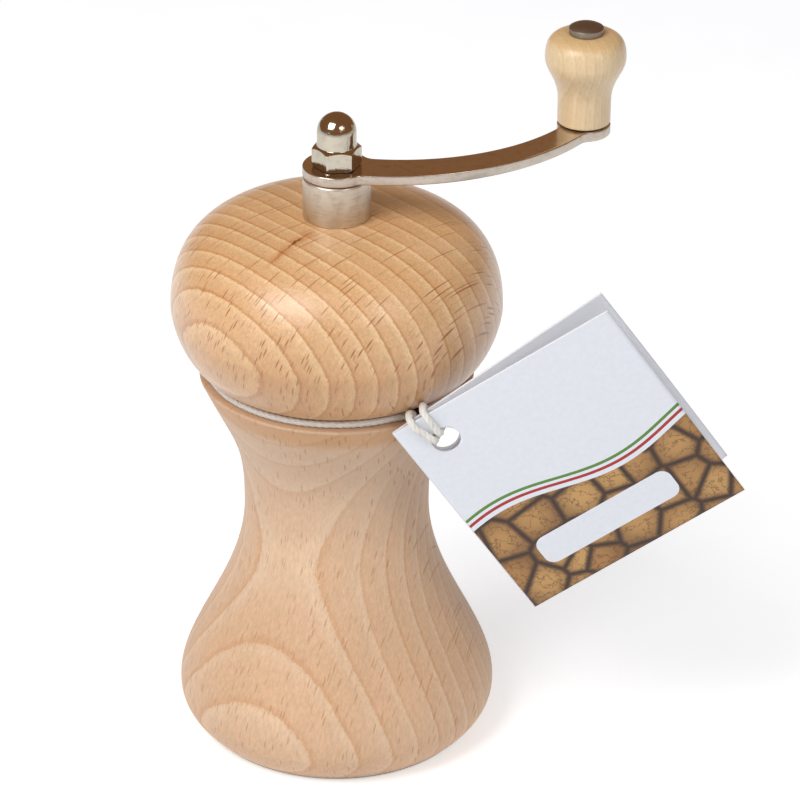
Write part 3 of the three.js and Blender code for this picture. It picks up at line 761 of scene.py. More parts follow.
@dataclass(frozen=True)
class Beech:
    """Turned beech: where its pith ran, how wide its rings are, its colours and its lacquer.

    The pith is a point in millimetres from the mill's axis, and lean is how far it moves right and back
    for each millimetre up. Rim and the neck's painted shade take pairs of heights, and scar is two points
    of the plan. The underside tint is painted shade on faces that look down.
    """

    name: str
    pith: tuple[float, float, float]
    lean: tuple[float, float]
    first_ring: float
    ring_width: float
    wander: float
    slant: float
    dark: Tone
    light: Tone
    end_tint: Tone
    ray: Tone
    ray_share: float
    roughness: float
    coat: float
    coat_roughness: float
    crowding: float = 0.0
    swell: float = 0.0
    swell_height: float = 0.0
    mottle: float = 0.65
    # painted shade on faces that look down
    painted_underside_shade: Tone = (255, 255, 255)
    gleam: float = 0.5
    tool_marks: float = 0.0
    rim: tuple[float, float] | None = None
    # heights over which the painted shade greys the neck
    neck_shade: tuple[float, float] | None = None
    scar: tuple[float, float, float, float] | None = None

    def material(self) -> Material:
        """Colour, roughness and relief from one grain.

        Returns:
            The wood's material.
        """
        material, g, shader = new_material(self.name)
        here = g.here()
        grain = g.group(
            BEECH_GRAIN,
            Position=here,
            Pith=(self.pith[0] + MILL_X, *self.pith[1:]),
            Lean=(*self.lean, 0),
            Distance=math.hypot(*self.pith[:2]),
            First_ring=self.first_ring,
            Ring_width=self.ring_width,
            Crowding=self.crowding,
            Swell=self.swell,
            Swell_height=self.swell_height,
            Slant=self.slant,
            Wander=self.wander,
        )
        height = g.split(here)[2]
        fibre = grain["Fibre"] - 0.5
        level = (fibre * self.mottle + 1) * ((grain["Cloud"] - 0.5) * 0.22 + 1)
        base = g.mix(grain["Ring"], colour(*self.dark), colour(*self.light))
        base = g.mix(1.0, base, g.join(level, level, level), "MULTIPLY")
        facing_up = g.signal("Attribute", output="Fac", attribute_name="end_grain")
        top = g.ease(facing_up, 0.25, 1.0)
        base = g.mix(top, base, colour(*self.end_tint), "MULTIPLY")
        # Painted shade: faces that look down are darkened by the underside tint.
        base = g.mix(g.ease(facing_up, -0.2, 0.3, 1, 0), base, colour(*self.painted_underside_shade), "MULTIPLY")
        # Painted light: shade greys the neck, and a reflection of the floor greys the foot's edge.
        if self.neck_shade:
            base = self.painted_neck_shade_and_foot_reflection(g, height, base)
        ray_level = (1 - top * 0.25) * self.ray_share
        base = g.mix(grain["Ray"] * ray_level, base, colour(*self.ray))
        if self.rim:
            base = self.warmed_rim_band(g, height, base)
        if self.scar:
            base = self.scarred(g, here, base)
        inputs = {
            "Base Color": base,
            "Roughness": fibre * 0.25 + self.roughness,
            "Specular IOR Level": self.gleam,
            "Coat Weight": self.coat,
            "Coat Roughness": self.coat_roughness,
            "Normal": g.bump(fibre * 0.5 - grain["Ray"] * 0.5, 0.25, 0.05),
        }
        if self.tool_marks:
            inputs["Coat Normal"] = self.turning_lines(g, here)
        g.feed(shader, inputs)
        return material

    def turning_lines(self, g: Graph, here: Signal) -> Signal:
        """The lacquer's normal over fine level lines that the lathe tool left."""
        drawn = g.vector("MULTIPLY", here, (0.12, 0.12, 2.4))
        return g.bump(g.noise(drawn, 1.0, 3, 0.7), self.tool_marks, 0.2)

    def painted_neck_shade_and_foot_reflection(self, g: Graph, height: Signal, base: Signal) -> Signal:
        """Greys the wood and fades its rings towards the neck, a painted shade, and greys the foot's
        edge, a painted reflection of the floor.
        """
        base = g.mix(g.ease(height, *self.neck_shade, 0, 0.5), base, colour(*NECK_PAINTED_SHADE))
        return g.mix(g.ease(height, *FOOT_REFLECTION_HEIGHTS, 0.7, 0), base, colour(*FOOT_PAINTED_REFLECTION))

    def warmed_rim_band(self, g: Graph, height: Signal, base: Signal) -> Signal:
        """Warms the wood between two heights, in a band at the rim.

        Args:
            g: The material's graph.
            height: The shaded point's height.
            base: The wood's colour.

        Returns:
            The warmed colour.
        """
        low, high = self.rim
        below, above = RIM_BLUR
        coming = g.ease(height, low - below, low + below)
        share = coming * g.ease(height, high - above, high + above, 1, 0)
        return g.mix(share, base, colour(*RIM_WARMTH), "MULTIPLY")

    def scarred(self, g: Graph, here: Signal, base: Signal) -> Signal:
        """Draws a short dark check across the rings on the crown, from one point of the plan to another.

        (ux, uy), and its way off it is x uy - y ux.

        Args:
            g: The material's graph.
            here: The shaded point.
            base: The wood's colour.

        Returns:
            The colour with the check.
        """
        x0, y0, x1, y1 = self.scar
        length = math.hypot(x1 - x0, y1 - y0)
        ux, uy = (x1 - x0) / length, (y1 - y0) / length
        x, y, z = g.split(g.vector("SUBTRACT", here, (x0 + MILL_X, y0, 0)))
        along = x * ux + y * uy
        off = abs(x * uy - y * ux + g.wobble(here, 0.5) * 2.2)
        near = g.ease(along, -1, 3) * g.ease(along, length - 4, length + 2, 1, 0)
        near = near * g.ease(z, *SCAR_HEIGHTS)
        halo = g.ease(off, 0.3, 2.2, 1, 0) * near
        core = g.ease(off, 0.1, 0.5, 1, 0) * near
        middle = g.ease(abs(along - length * SCAR_HEART), 0.8, 3.2, 1, 0)
        halo_tone, core_tone, heart_tone = (colour(*tone) for tone in SCAR_TONES)
        base = g.mix(halo * 0.55, base, halo_tone, "MULTIPLY")
        base = g.mix(core * 0.6, base, core_tone)
        return g.mix(core * middle * 0.85, base, heart_tone)


@dataclass(frozen=True)
class Steel:
    """Steel of one lustre: its colour, how rough it is, and how its lines run."""

    name: str
    tone: Tone
    roughness: float
    spread: float
    lines: tuple[float, float, float]
    dents: float = 0.0
    bump: float = 0.1
    streak: float = 0.0

    def material(self) -> Material:
        """Tone, roughness and relief from its wear.

        Returns:
            The metal's material.
        """
        material, g, shader = new_material(self.name)
        wear = g.group(METAL_WEAR, Position=g.here(), Along=self.lines)
        line = wear["Line"] - 0.5
        bright = colour(*self.tone)
        dull = tuple(level * share for level, share in zip(bright, DULLING))
        rough = (wear["Blotch"] - 0.5 + line) * self.spread + self.roughness
        inputs = {
            "Base Color": g.mix(g.ease(wear["Blotch"] + line * self.streak, 0.45, 0.75), bright, dull),
            "Roughness": g.most(rough, 0.03),
            "Metallic": 1.0,
            "Normal": g.bump(line - wear["Dent"] * self.dents, self.bump, 0.05),
        }
        g.feed(shader, inputs)
        return material


@dataclass(frozen=True)
class Cotton:
    """Undyed cotton string: its colour, and how often its fibres come round it and along a metre."""

    name: str
    tone: Tone
    fibres: tuple[float, float] = (26, 420)

    def material(self) -> Material:
        """Fibres that follow the piece's own map, round and along it.

        Returns:
            The string's material.
        """
        material, g, shader = new_material(self.name)
        place = g.signal("UVMap", uv_map="lay")
        fibre = g.noise(g.vector("MULTIPLY", place, (*self.fibres, 1)), 1.0, 3, 0.6)
        dark = colour(*(c * 0.9 for c in self.tone))
        inputs = {
            "Base Color": g.mix(g.ease(fibre, 0.3, 0.7), dark, colour(*self.tone)),
            "Roughness": fibre * 0.1 + 0.85,
            "Sheen Weight": 0.2,
            "Normal": g.bump(fibre, 0.5, 0.08),
        }
        g.feed(shader, inputs)
        return material


@dataclass(frozen=True)
class CardPrint:
    """The print on the front leaf: a bed of brown pebbles under two waving rules, and a bare panel.

    Sizes are in millimetres from the fold and the foot of the card, whose leaf is width by height, and
    pebbles are counted to the millimetre.
    """

    width: float
    height: float
    margin: float = 0.4
    bed_top: float = 25
    wave: float = 2.6
    wave_turn: float = 0.11
    wave_start: float = 0.6
    pebbles_each_way: float = 0.11
    rule: float = 0.4
    rules: tuple[tuple[float, Tone], ...] = ((1.6, (178, 40, 44)), (3.2, (92, 140, 52)))
    panel_middle: tuple[float, float] = (27, 12)
    panel_half: tuple[float, float] = (15, 1.5)
    panel_round: float = 2.6
    pebble_tones: tuple[Tone, Tone] = ((172, 124, 70), (206, 160, 98))
    vein_tone: Tone = (98, 60, 28)
    gap_tone: Tone = (58, 34, 16)

    def over(self, g: Graph, plain: Signal) -> Signal:
        """The card's colour with the print on its front leaf.

        The bed's top waves by wave sin(x wave_turn + wave_start), and the rules follow it.

        Args:
            g: The material's graph.
            plain: The bare card's colour.

        Returns:
            The colour.
        """
        u, v, _ = g.split(g.signal("UVMap", uv_map="card"))
        x = (u - 0.5) * (2 * self.width)
        y = v * self.height
        wave = g.maths("SINE", x * self.wave_turn + self.wave_start) * self.wave
        above = y - (wave + self.bed_top)
        surface = g.mix(g.maths("LESS_THAN", above, 0), plain, self.pebble_bed(g, g.join(x, y, 0)))
        for height, ink in self.rules:
            on_rule = g.maths("LESS_THAN", abs(above - height), self.rule)
            surface = g.mix(on_rule, surface, colour(*ink))
        surface = g.mix(self.panel(g, x, y), surface, plain)
        return g.mix(g.maths("GREATER_THAN", x, self.margin), plain, surface)

    def pebble_bed(self, g: Graph, spot: Signal) -> Signal:
        """Domed pebbles: cells that darken at their edges and off their middles, crossed by veins.

        Args:
            g: The material's graph.
            spot: The place on the card.

        Returns:
            The bed's colour.
        """
        cells = {"Vector": spot, "Scale": self.pebbles_each_way, "Randomness": 0.8}
        cell = g.signals(g.add("TexVoronoi", cells, voronoi_dimensions="2D"))
        edge = g.signal("TexVoronoi", cells, voronoi_dimensions="2D", feature="DISTANCE_TO_EDGE")
        bulge = g.ease(cell["Distance"], 0.12, 0.72, 1, 0)
        vein = abs(g.noise(spot, 0.34, 3, 0.6) - 0.5)
        crease = g.ease(vein, 0.0, 0.035, 0.35, 1)
        body = g.mix(g.split(cell["Color"])[0], *(colour(*tone) for tone in self.pebble_tones))
        body = g.mix(crease * (bulge * 0.6 + 0.4), colour(*self.vein_tone), body)
        return g.mix(g.ease(edge, 0.01, 0.14), colour(*self.gap_tone), body)

    def panel(self, g: Graph, x: Signal, y: Signal) -> Signal:
        """A bare panel with round corners, whose radius is the reach past its half size.

        Args:
            g: The material's graph.
            x: How far the place lies from the fold.
            y: How far it lies above the foot.

        Returns:
            One inside the panel and nought outside.
        """
        (middle_x, middle_y), (half_x, half_y) = self.panel_middle, self.panel_half
        off_x = g.most(abs(x - middle_x) - half_x, 0)
        off_y = g.most(abs(y - middle_y) - half_y, 0)
        return g.maths("LESS_THAN", g.reach(off_x, off_y), self.panel_round)


@dataclass(frozen=True)
class CardStock:
    """Coated white card, printed or left plain."""

    name: str
    tone: Tone
    gloss: float
    printed: CardPrint | None = None

    def material(self) -> Material:
        """A faint mottle, and the print where there is one.

        Returns:
            The card's material.
        """
        material, g, shader = new_material(self.name)
        mottle = g.noise(g.here(), 0.9, 3, 0.6)
        shade = colour(*(c - 4 for c in self.tone))
        plain = g.mix(g.ease(mottle, 0.3, 0.7), shade, colour(*self.tone))
        inputs = {
            "Base Color": self.printed.over(g, plain) if self.printed else plain,
            "Roughness": mottle * 0.12 + self.gloss,
            "Normal": g.bump(mottle, 0.08, 0.03),
        }
        g.feed(shader, inputs)
        return material


BODY_BEECH = Beech(
    name="body beech",
    pith=(48.98, 77.44, 40),
    lean=(0.007, 0.184),
    first_ring=87.2,
    ring_width=4.5,
    wander=0.8,
    slant=0.15,
    dark=(218, 173, 134),
    light=(232, 199, 166),
    end_tint=(240, 222, 200),
    ray=(172, 114, 72),
    ray_share=0.48,
    roughness=0.5,
    coat=0.08,
    coat_roughness=0.35,
    swell=0.01377,
    swell_height=21.37,
    gleam=0.35,
    rim=(86, 90.8),
    # heights over which the painted shade greys the neck
    neck_shade=(48, 80),
)
HEAD_BEECH = Beech(
    name="head beech",
    pith=(148.94, 138.04, 115),
    lean=(0.128, -0.398),
    first_ring=190.0,
    ring_width=5.29,
    wander=0.6,
    slant=-0.06,
    dark=(206, 148, 92),
    light=(243, 204, 156),
    end_tint=(255, 252, 246),
    ray=(158, 90, 40),
    ray_share=1.0,
    roughness=0.42,
    coat=0.88,
    coat_roughness=0.28,
    crowding=0.02786,
    mottle=0.95,
    gleam=0.6,
    # painted shade on the head's underside
    painted_underside_shade=(229, 217, 196),
    tool_marks=0.8,
    scar=(-5, -8.6, -15, -21.4),
)
KNOB_BEECH = Beech(
    name="knob beech",
    pith=(150, 60, 150),
    lean=(0.0, 0.02),
    first_ring=90,
    ring_width=1.9,
    wander=0.8,
    slant=0.05,
    dark=(229, 199, 155),
    light=(239, 213, 171),
    end_tint=(244, 230, 208),
    ray=(196, 158, 112),
    ray_share=0.1,
    roughness=0.42,
    coat=0.6,
    coat_roughness=0.28,
    mottle=0.5,
    gleam=0.35,
    tool_marks=0.4,
)

# Each steel has its tone, roughness, its spread, lines to the millimetre, dents, bump and streak.
NICKEL = Steel("nickel plate", (186, 178, 162), 0.14, 0.14, (0.9, 0.9, 0.9), 0.6, 1.0)
ARM_STEEL = Steel("arm steel", (206, 198, 188), 0.19, 0.08, (0.3, 0.3, 2.0), 0.2, 0.08)
EDGE_STEEL = Steel("sheared steel", (196, 186, 174), 0.36, 0.14, (0.9, 0.9, 4.0), 0.3, 0.5, 0.8)
COLLAR_STEEL = Steel("collar steel", (212, 206, 194), 0.4, 0.28, (0.25, 0.25, 4.5), 0.5, 0.9, 1.2)
RIVET_STEEL = Steel("rivet steel", (152, 146, 138), 0.46, 0.2, (1.4, 1.4, 1.4), 0.2, 0.4)
ZINC_STEEL = Steel("zinc steel", (196, 198, 200), 0.35, 0.1, (0.8, 0.8, 0.8), 0.0, 0.15)
SPRING_STEEL = Steel("spring steel", (150, 150, 152), 0.35, 0.1, (1.0, 1.0, 1.0))
STRING_COTTON = Cotton("string cotton", (250, 247, 239))


# Sub-assemblies


@dataclass
class MillBody:
    """The beech body, with the blade plate and its screws in the foot.

    Sizes are in millimetres, and the angles, at which the arcs of foot and rim meet the side, in radians.
    """

    height: float = 91.3
    foot_radius: float = 31.6
    bulge_radius: float = 36.8
    bulge_height: float = 10.4
    waist_radius: float = 21.3
    waist_height: float = 57.6
    rim_radius: float = 31.3
    rim_flare: float = 0.455
    foot_flare: float = 0.9
    bulge_pull: float = 0.235
    waist_pull: float = 0.435
    throat_pull: float = 0.488
    rim_pull: float = 0.487
    rim_ease: float = 0.5
    foot_ease: float = 0.8
    chamber_radius: float = 16
    recess_radius: float = 25
    recess_depth: float = 12
    groove_radius: float = 27
    seat_radius: float = 25.4
    seat_height: float = 90
    socket_radius: float = 20.35
    socket_depth: float = 8.35
    foot_angle: float = -0.35
    rim_angle: float = -0.25
    rim_flat: float = 1.2
    plate_ease: float = 0.08
    screw_ease: float = 0.12
    foot_steps: int = 5
    bulge_steps: int = 20
    side_steps: int = 64
    neck_steps: int = 40
    rim_steps: int = 6
    segments: int = 192

    def profile(self) -> Array:
        """Foot, bulge, waist and rim outside, and groove, socket, chamber and recess inside.

        Returns:
            The closed section.
        """
        ease = self.foot_ease
        foot = arc((self.foot_radius - ease, ease), ease, -math.pi / 2, self.foot_angle, self.foot_steps)
        handle = self.bulge_radius - self.foot_radius
        bulge = bezier(
            foot[-1],
            (foot[-1][0] + handle, foot[-1][1] + handle * self.foot_flare),
            (self.bulge_radius, self.bulge_height * (1 - self.bulge_pull)),
            (self.bulge_radius, self.bulge_height),
            self.bulge_steps,
        )
        flank = self.waist_height - self.bulge_height
        side = bezier(
            bulge[-1],
            (self.bulge_radius, self.bulge_height + flank * self.bulge_pull),
            (self.waist_radius, self.waist_height - flank * self.waist_pull),
            (self.waist_radius, self.waist_height),
            self.side_steps,
        )
        rim_bottom = self.height - self.rim_ease
        throat = rim_bottom - self.waist_height
        handle = throat * self.rim_pull
        neck = bezier(
            side[-1],
            (self.waist_radius, self.waist_height + throat * self.throat_pull),
            (self.rim_radius - handle * self.rim_flare, rim_bottom - handle),
            (self.rim_radius, rim_bottom),
            self.neck_steps,
        )
        middle = (self.rim_radius - self.rim_ease, rim_bottom)
        rim = arc(middle, self.rim_ease, self.rim_angle, math.pi / 2, self.rim_steps)
        socket_floor = self.seat_height - self.socket_depth
        inside = eased(
            [
                (self.rim_radius - self.rim_flat, self.height, 0),
                (self.groove_radius, self.height, 0.5),
                (self.seat_radius, self.seat_height, 0.3),
                (self.socket_radius, self.seat_height, 0.3),
                (self.socket_radius, socket_floor, 0),
                (self.chamber_radius, socket_floor, 0.4),
                (self.chamber_radius, self.recess_depth, 0.2),
                (self.recess_radius, self.recess_depth, 0),
                (self.recess_radius, 0, 0.4),
                (self.recess_radius + 1, 0, 0),
            ],
            closed=False,
            steps=3,
        )
        return np.vstack([foot, bulge[1:], side[1:], neck[1:], rim, inside])

    def build(self) -> None:
        """Builds and dresses the body, the blade plate and its screws."""
        body = grid_piece("turned_body", turned(self.profile(), self.segments), True, TURNED_SHARP)
        mark_end_grain(body)
        settle(body, Body.MILL, [BODY_BEECH.material()], ["body_shell"])
        dress_solid("blade_plate", COLLAR_STEEL.material(), self.plate_ease)
        screw = ZINC_STEEL.material()
        for number in (1, 2, 3):
            dress_solid(f"blade_screw_{number}", screw, self.screw_ease)


@dataclass
class MillHead:
    """The beech head with its steel collar, washer and nut. Sizes in millimetres."""

    bottom: float = 90.1
    height: float = 40.5
    radius: float = 37.6
    widest: float = 17.8
    neck_radius: float = 24.5
    neck_height: float = 2
    crown_radius: float = 8.6
    crown_dip: float = 0.75
    underside: float = 0.787
    underside_lift: float = 0.012
    cheek: float = 0.165
    shoulder: float = 0.79
    crown: float = 0.58
    spigot_radius: float = 20
    spigot_length: float = 8
    well_radius: float = 11
    well_top: float = 118.1
    bore_radius: float = 6.35
    collar_radius: float = 7.65
    collar_bottom: float = 129.9
    collar_top: float = 139.6
    collar_ease: float = 0.6
    collar_bore: float = 4.49
    tenon_radius: float = 6.2
    tenon_bottom: float = 112.9
    neck_hold: float = 0.3
    nut_ease: float = 0.3
    underside_steps: int = 40
    crown_steps: int = 72
    segments: int = 208
    collar_segments: int = 128

    def profile(self) -> Array:
        """Spigot, neck, cheek and crown outside, and bore and spring well inside.

        Returns:
            The closed section.
        """
        top = self.bottom + self.height
        widest = self.bottom + self.widest
        neck_top = self.bottom + self.neck_height
        spread = self.radius - self.neck_radius
        lower = eased(
            [
                (self.well_radius + 1, self.bottom - self.spigot_length, 0),
                (self.spigot_radius, self.bottom - self.spigot_length, 0.5),
                (self.spigot_radius, self.bottom, 0),
                (self.neck_radius, self.bottom, 0.3),
                (self.neck_radius, neck_top - self.neck_hold, 0),
            ],
            closed=False,
            steps=4,
        )
        underside = bezier(
            (self.neck_radius, neck_top),
            (self.neck_radius + spread * self.underside, neck_top + spread * self.underside_lift),
            (self.radius, widest - (widest - neck_top) * self.cheek),
            (self.radius, widest),
            self.underside_steps,
        )
        rise = top - widest
        crown = bezier(
            (self.radius, widest),
            (self.radius, widest + rise * self.shoulder),
            (self.crown_radius + (self.radius - self.crown_radius) * self.crown, top),
            (self.crown_radius, top - self.crown_dip),
            self.crown_steps,
        )
        inside = eased(
            [
                (self.crown_radius, top - self.crown_dip, 0),
                (self.bore_radius, top - self.crown_dip, 0.2),
                (self.bore_radius, self.well_top, 0),
                (self.well_radius, self.well_top, 0),
                (self.well_radius, self.bottom - self.spigot_length, 0.4),
                (self.well_radius + 1, self.bottom - self.spigot_length, 0),
            ],
            closed=False,
            steps=3,
        )
        return np.vstack([lower, underside, crown[1:], inside[1:-1]])

    def collar_profile(self) -> Array:
        """A tenon in the wood and a sleeve above it.

        Returns:
            The collar's closed section.
        """
        return eased(
            [
                (self.collar_bore, self.tenon_bottom, 0.2),
                (self.tenon_radius, self.tenon_bottom, 0.3),
                (self.tenon_radius, self.collar_bottom, 0),
                (self.collar_radius, self.collar_bottom, 0.12),
                (self.collar_radius, self.collar_top, self.collar_ease),
                (self.collar_bore, self.collar_top, 0.25),
            ]
        )

    def build(self) -> None:
        """Builds and dresses the head and the collar with its washer and nut."""
        head = grid_piece("turned_head", turned(self.profile(), self.segments), True, TURNED_SHARP)
        mark_end_grain(head)
        settle(head, Body.HEAD, [HEAD_BEECH.material()], ["head_block"])
        sleeve = grid_piece("collar_sleeve", turned(self.collar_profile(), self.collar_segments), True)
        settle(sleeve, Body.HEAD, [COLLAR_STEEL.material()], ["collar"])
        zinc = ZINC_STEEL.material()
        dress_solid("collar_washer", zinc)
        dress_solid("collar_nut", zinc, self.nut_ease)


@dataclass
class Crank:
    """The curved crank, its acorn nut, the shaft, the spring and the claw.

    Sizes are in millimetres and angles in degrees. A face whose normal rises less than the arm's edge
    slope is part of its edge. The spring's lead is the share of a turn in which its wire bends from the
    coil to upright, and travel is how far the crank lifts.
    """

    arm_bottom: float = 139.8
    arm_thickness: float = 2.4
    arm_width: float = 8
    arm_bend: float = 49.5
    arm_start: float = -15.5
    arm_turn: float = 75.4
    arm_taper: float = 1.4
    hub_radius: float = 7.7
    boss_radius: float = 6.1
    fillet: float = 3
    arm_ease: float = 0.35
    arm_flat: float = 0.2
    arm_sharp: float = 40
    arm_edge_slope: float = 0.6
    arm_edge_points: int = 6
    hub_steps: int = 72
    boss_steps: int = 56
    outer_steps: int = 72
    inner_steps: int = 60
    fillet_steps: int = 10
    hole_gap: float = 0.15
    boss_hole: float = 2.15
    hole_steps: int = 32
    thread_radius: float = 2.9
    nut_bottom: float = 142.3
    nut_flats: float = 9.8
    nut_hex_height: float = 4.8
    nut_height: float = 12.4
    nut_dome_radius: float = 4.45
    nut_ease: float = 0.8
    nut_foot_ease: float = 0.4
    nut_turn: float = 36.5
    nut_power: float = 90
    nut_step: float = 0.12
    nut_sharp: float = 24
    nut_dome_steps: int = 28
    nut_segments: int = 288
    spring_radius: float = 6.6
    spring_wire: float = 1.2
    spring_turns: int = 16
    spring_bottom: float = 22.8
    spring_top: float = 111.5
    spring_end: float = 1.2
    spring_lead: float = 3 / 32
    spring_steps: int = 48
    spring_sides: int = 12
    spring_end_points: int = 6
    travel: float = 30

    def bend_middle(self) -> Array:
        """The middle of the arm's bend, whose circle passes the hub headed arm_start from the right."""
        start = math.radians(self.arm_start)
        return self.arm_bend * np.array([-math.sin(start), math.cos(start)])

    def boss(self) -> Array:
        """The middle of the end boss, where the arm's curve ends."""
        end = math.radians(self.arm_start + self.arm_turn)
        return self.bend_middle() + self.arm_bend * np.array([math.sin(end), -math.cos(end)])

    @staticmethod
    def meeting(first: Array, first_reach: float, second: Array, second_reach: float, side: int) -> Array:
        """The point at given distances from two centres.

        Args:
            first: One centre.
            first_reach: The distance from it.
            second: The other centre.
            second_reach: The distance from that one.
            side: Left (1) or right (-1) of the line between them.

        Returns:
            The point.
        """
        apart = np.linalg.norm(second - first)
        along = (apart**2 + first_reach**2 - second_reach**2) / (2 * apart)
        off = math.sqrt(first_reach**2 - along**2) * side
        unit = (second - first) / apart
        return first + unit * along + np.array([-unit[1], unit[0]]) * off

    def arm_outline(self) -> tuple[Array, Array]:
        """The arm's plan: hub, bent bar and boss, blended by fillets.

        The bar narrows towards the boss, because its outer and inner arcs have middles arm_taper apart
        on either side of the bend's own.

        Returns:
            The outline's points and its outward directions.
        """
        hub, boss = np.zeros(2), self.boss()
        apart = boss / np.linalg.norm(boss) * self.arm_taper
        outer_bend, inner_bend = self.bend_middle() - apart, self.bend_middle() + apart
        outer = self.arm_bend + self.arm_width / 2
        inner = self.arm_bend - self.arm_width / 2
        hub_reach, boss_reach = self.hub_radius + self.fillet, self.boss_radius + self.fillet
        hub_outer = self.meeting(hub, hub_reach, outer_bend, outer + self.fillet, -1)
        boss_outer = self.meeting(boss, boss_reach, outer_bend, outer + self.fillet, 1)
        boss_inner = self.meeting(boss, boss_reach, inner_bend, inner - self.fillet, 1)
        hub_inner = self.meeting(hub, hub_reach, inner_bend, inner - self.fillet, -1)

        def swept(
            centre: Array, radius: float, start: Array, end: Array, steps: int, hollow: bool = False
        ) -> tuple[Array, Array]:
            """One arc from the direction of one point to that of another.

            Args:
                centre: The arc's middle.
                radius: Its radius.
                start: The point towards which it starts.
                end: The point towards which it ends.
                steps: Stretches along it.
                hollow: Whether it runs clockwise, with the bar outside it.

            Returns:
                Its points and their outward directions.
            """
            first = math.atan2(*(start - centre)[::-1])
            last = math.atan2(*(end - centre)[::-1])
            sweep = (last - first) % (2 * math.pi)
            if hollow:
                sweep -= 2 * math.pi
            points = arc(centre, radius, first, first + sweep, steps)
            outward = (points - centre) / radius
            return points, -outward if hollow else outward

        corner = self.fillet_steps
        stretches = [
            swept(hub, self.hub_radius, hub_inner, hub_outer, self.hub_steps),
            swept(hub_outer, self.fillet, hub, outer_bend, corner, True),
            swept(outer_bend, outer, hub_outer, boss_outer, self.outer_steps),
            swept(boss_outer, self.fillet, outer_bend, boss, corner, True),
            swept(boss, self.boss_radius, boss_outer, boss_inner, self.boss_steps),
            swept(boss_inner, self.fillet, boss, 2 * boss_inner - inner_bend, corner, True),
            swept(inner_bend, inner, boss_inner, hub_inner, self.inner_steps, True),
            swept(hub_inner, self.fillet, 2 * hub_inner - inner_bend, hub, corner, True),
        ]
        points = np.vstack([s[0][:-1] for s in stretches])
        outward = np.vstack([s[1][:-1] for s in stretches])
        return points, outward

    def arm_grid(self) -> Array:
        """The bar's edge: its plan at each height, drawn in by a quarter circle at bottom and top.

        Returns:
            The grid of points, height by plan.
        """
        plan, outward = self.arm_outline()
        low, high = self.arm_bottom, self.arm_bottom + self.arm_thickness
        angle = np.linspace(0, math.pi / 2, self.arm_edge_points)
        inset = self.arm_ease * (1 - np.sin(angle))
        rise = self.arm_ease * (1 - np.cos(angle))
        flat = [self.arm_ease + self.arm_flat]
        inset = np.concatenate([flat, inset, inset[::-1], flat])
        heights = np.concatenate([[low], low + rise, high - rise[::-1], [high]])
        rings = plan[None] - inset[:, None, None] * outward[None]
        levels = np.broadcast_to(heights[:, None, None], (*rings.shape[:2], 1))
        return np.concatenate([rings, levels], axis=-1)

    def arm(self) -> Piece:
        """The bar: its edge, two lids that leave out the holes for shaft and rivet, and the holes' walls.

        Returns:
            The bar, with its edge in its second finish.
        """
        grid = self.arm_grid()
        rows, count = grid.shape[:2]
        places = (((0, 0), self.thread_radius + self.hole_gap), (self.boss(), self.boss_hole))
        holes = [arc(middle, radius, 0, 2 * math.pi, self.hole_steps)[:-1] for middle, radius in places]
        rim = np.vstack(holes)
        start, size = rows * count, len(rim)
        levels = [np.column_stack([rim, np.full(size, z)]) for z in (grid[0, 0, 2], grid[-1, 0, 2])]
        points = np.vstack([grid.reshape(-1, 3), *levels])
        # Both lids have the same triangles, numbered along the outline first and then round the holes.
        outline = grid[0, :, :2]
        loops = [[Vector((*p, 0)) for p in ring] for ring in (outline, *holes)]
        lid = np.array(tessellate_polygon(loops))
        on_rim = lid >= count
        bottom = np.where(on_rim, lid - count + start, lid)
        top = np.where(on_rim, lid - count + start + size, lid + (rows - 1) * count)
        a, b, c = (np.vstack([outline, rim])[lid[:, i]] for i in range(3))
        (ux, uy), (vx, vy) = (b - a).T, (c - a).T
        upward = (ux * vy - uy * vx > 0)[:, None]
        faces = grid_faces(rows, count, False).tolist()
        faces.extend(np.where(upward, bottom[:, ::-1], bottom).tolist())
        faces.extend(np.where(upward, top, top[:, ::-1]).tolist())
        around = np.arange(self.hole_steps)
        for first in (start, start + self.hole_steps):
            here, ahead = first + around, first + (around + 1) % self.hole_steps
            faces.extend(np.column_stack([ahead, here, here + size, ahead + size]).tolist())
        bar = mesh_piece("crank_bar", points, faces, self.arm_sharp)
        self.mark_edge(bar)
        return bar

    def mark_edge(self, bar: Piece) -> None:
        """Gives the second finish to the faces round the bar's edge, whose normals lie nearly level."""
        level = np.abs(read_values(bar.data.polygons, "normal")[:, 2]) < self.arm_edge_slope
        bar.data.polygons.foreach_set("material_index", level.astype(np.int32))

    def nut(self) -> Piece:
        """The acorn nut: at each height the smaller of a turned radius and a rounded hexagon's.

        The hexagon's radius at angle a is half its flats / (sum over its flats of cos(a - flat)^p)^(1/p),
        where p is the nut's power.

        Returns:
            The nut.
        """
        corner = self.nut_flats / 2 / math.cos(math.pi / 6)
        dome_z = self.nut_height - self.nut_dome_radius
        line = eased(
            [
                (0, 0, 0),
                (corner - self.nut_foot_ease, 0, 0.1),
                (corner, self.nut_foot_ease, 0.1),
                (corner, self.nut_hex_height - self.nut_ease, 0.2),
                (self.nut_dome_radius, self.nut_hex_height, 0.25),
                (self.nut_dome_radius, dome_z, 0),
            ],
            closed=False,
            steps=4,
        )
        dome = arc((0, dome_z), self.nut_dome_radius, 0, math.pi / 2, self.nut_dome_steps)
        profile = np.vstack([line, dome[1:]])
        run = run_along(profile)
        stations = np.unique(np.concatenate([run, np.arange(0, run[-1], self.nut_step)]))
        radius, height = points_at(profile, stations).T
        angle = whole_turn(self.nut_segments)
        flats = whole_turn(6) + math.radians(self.nut_turn)
        facing = np.maximum(np.cos(angle[:, None] - flats), 0)
        power = self.nut_power
        hexagon = self.nut_flats / 2 / (facing**power).sum(axis=1) ** (1 / power)
        both = np.minimum(radius[:, None], hexagon[None])
        x, y = both * np.cos(angle), both * np.sin(angle)
        z = np.broadcast_to(height[:, None] + self.nut_bottom, x.shape)
        return grid_piece("acorn_nut", np.stack([x, y, z], axis=-1), sharp=self.nut_sharp)

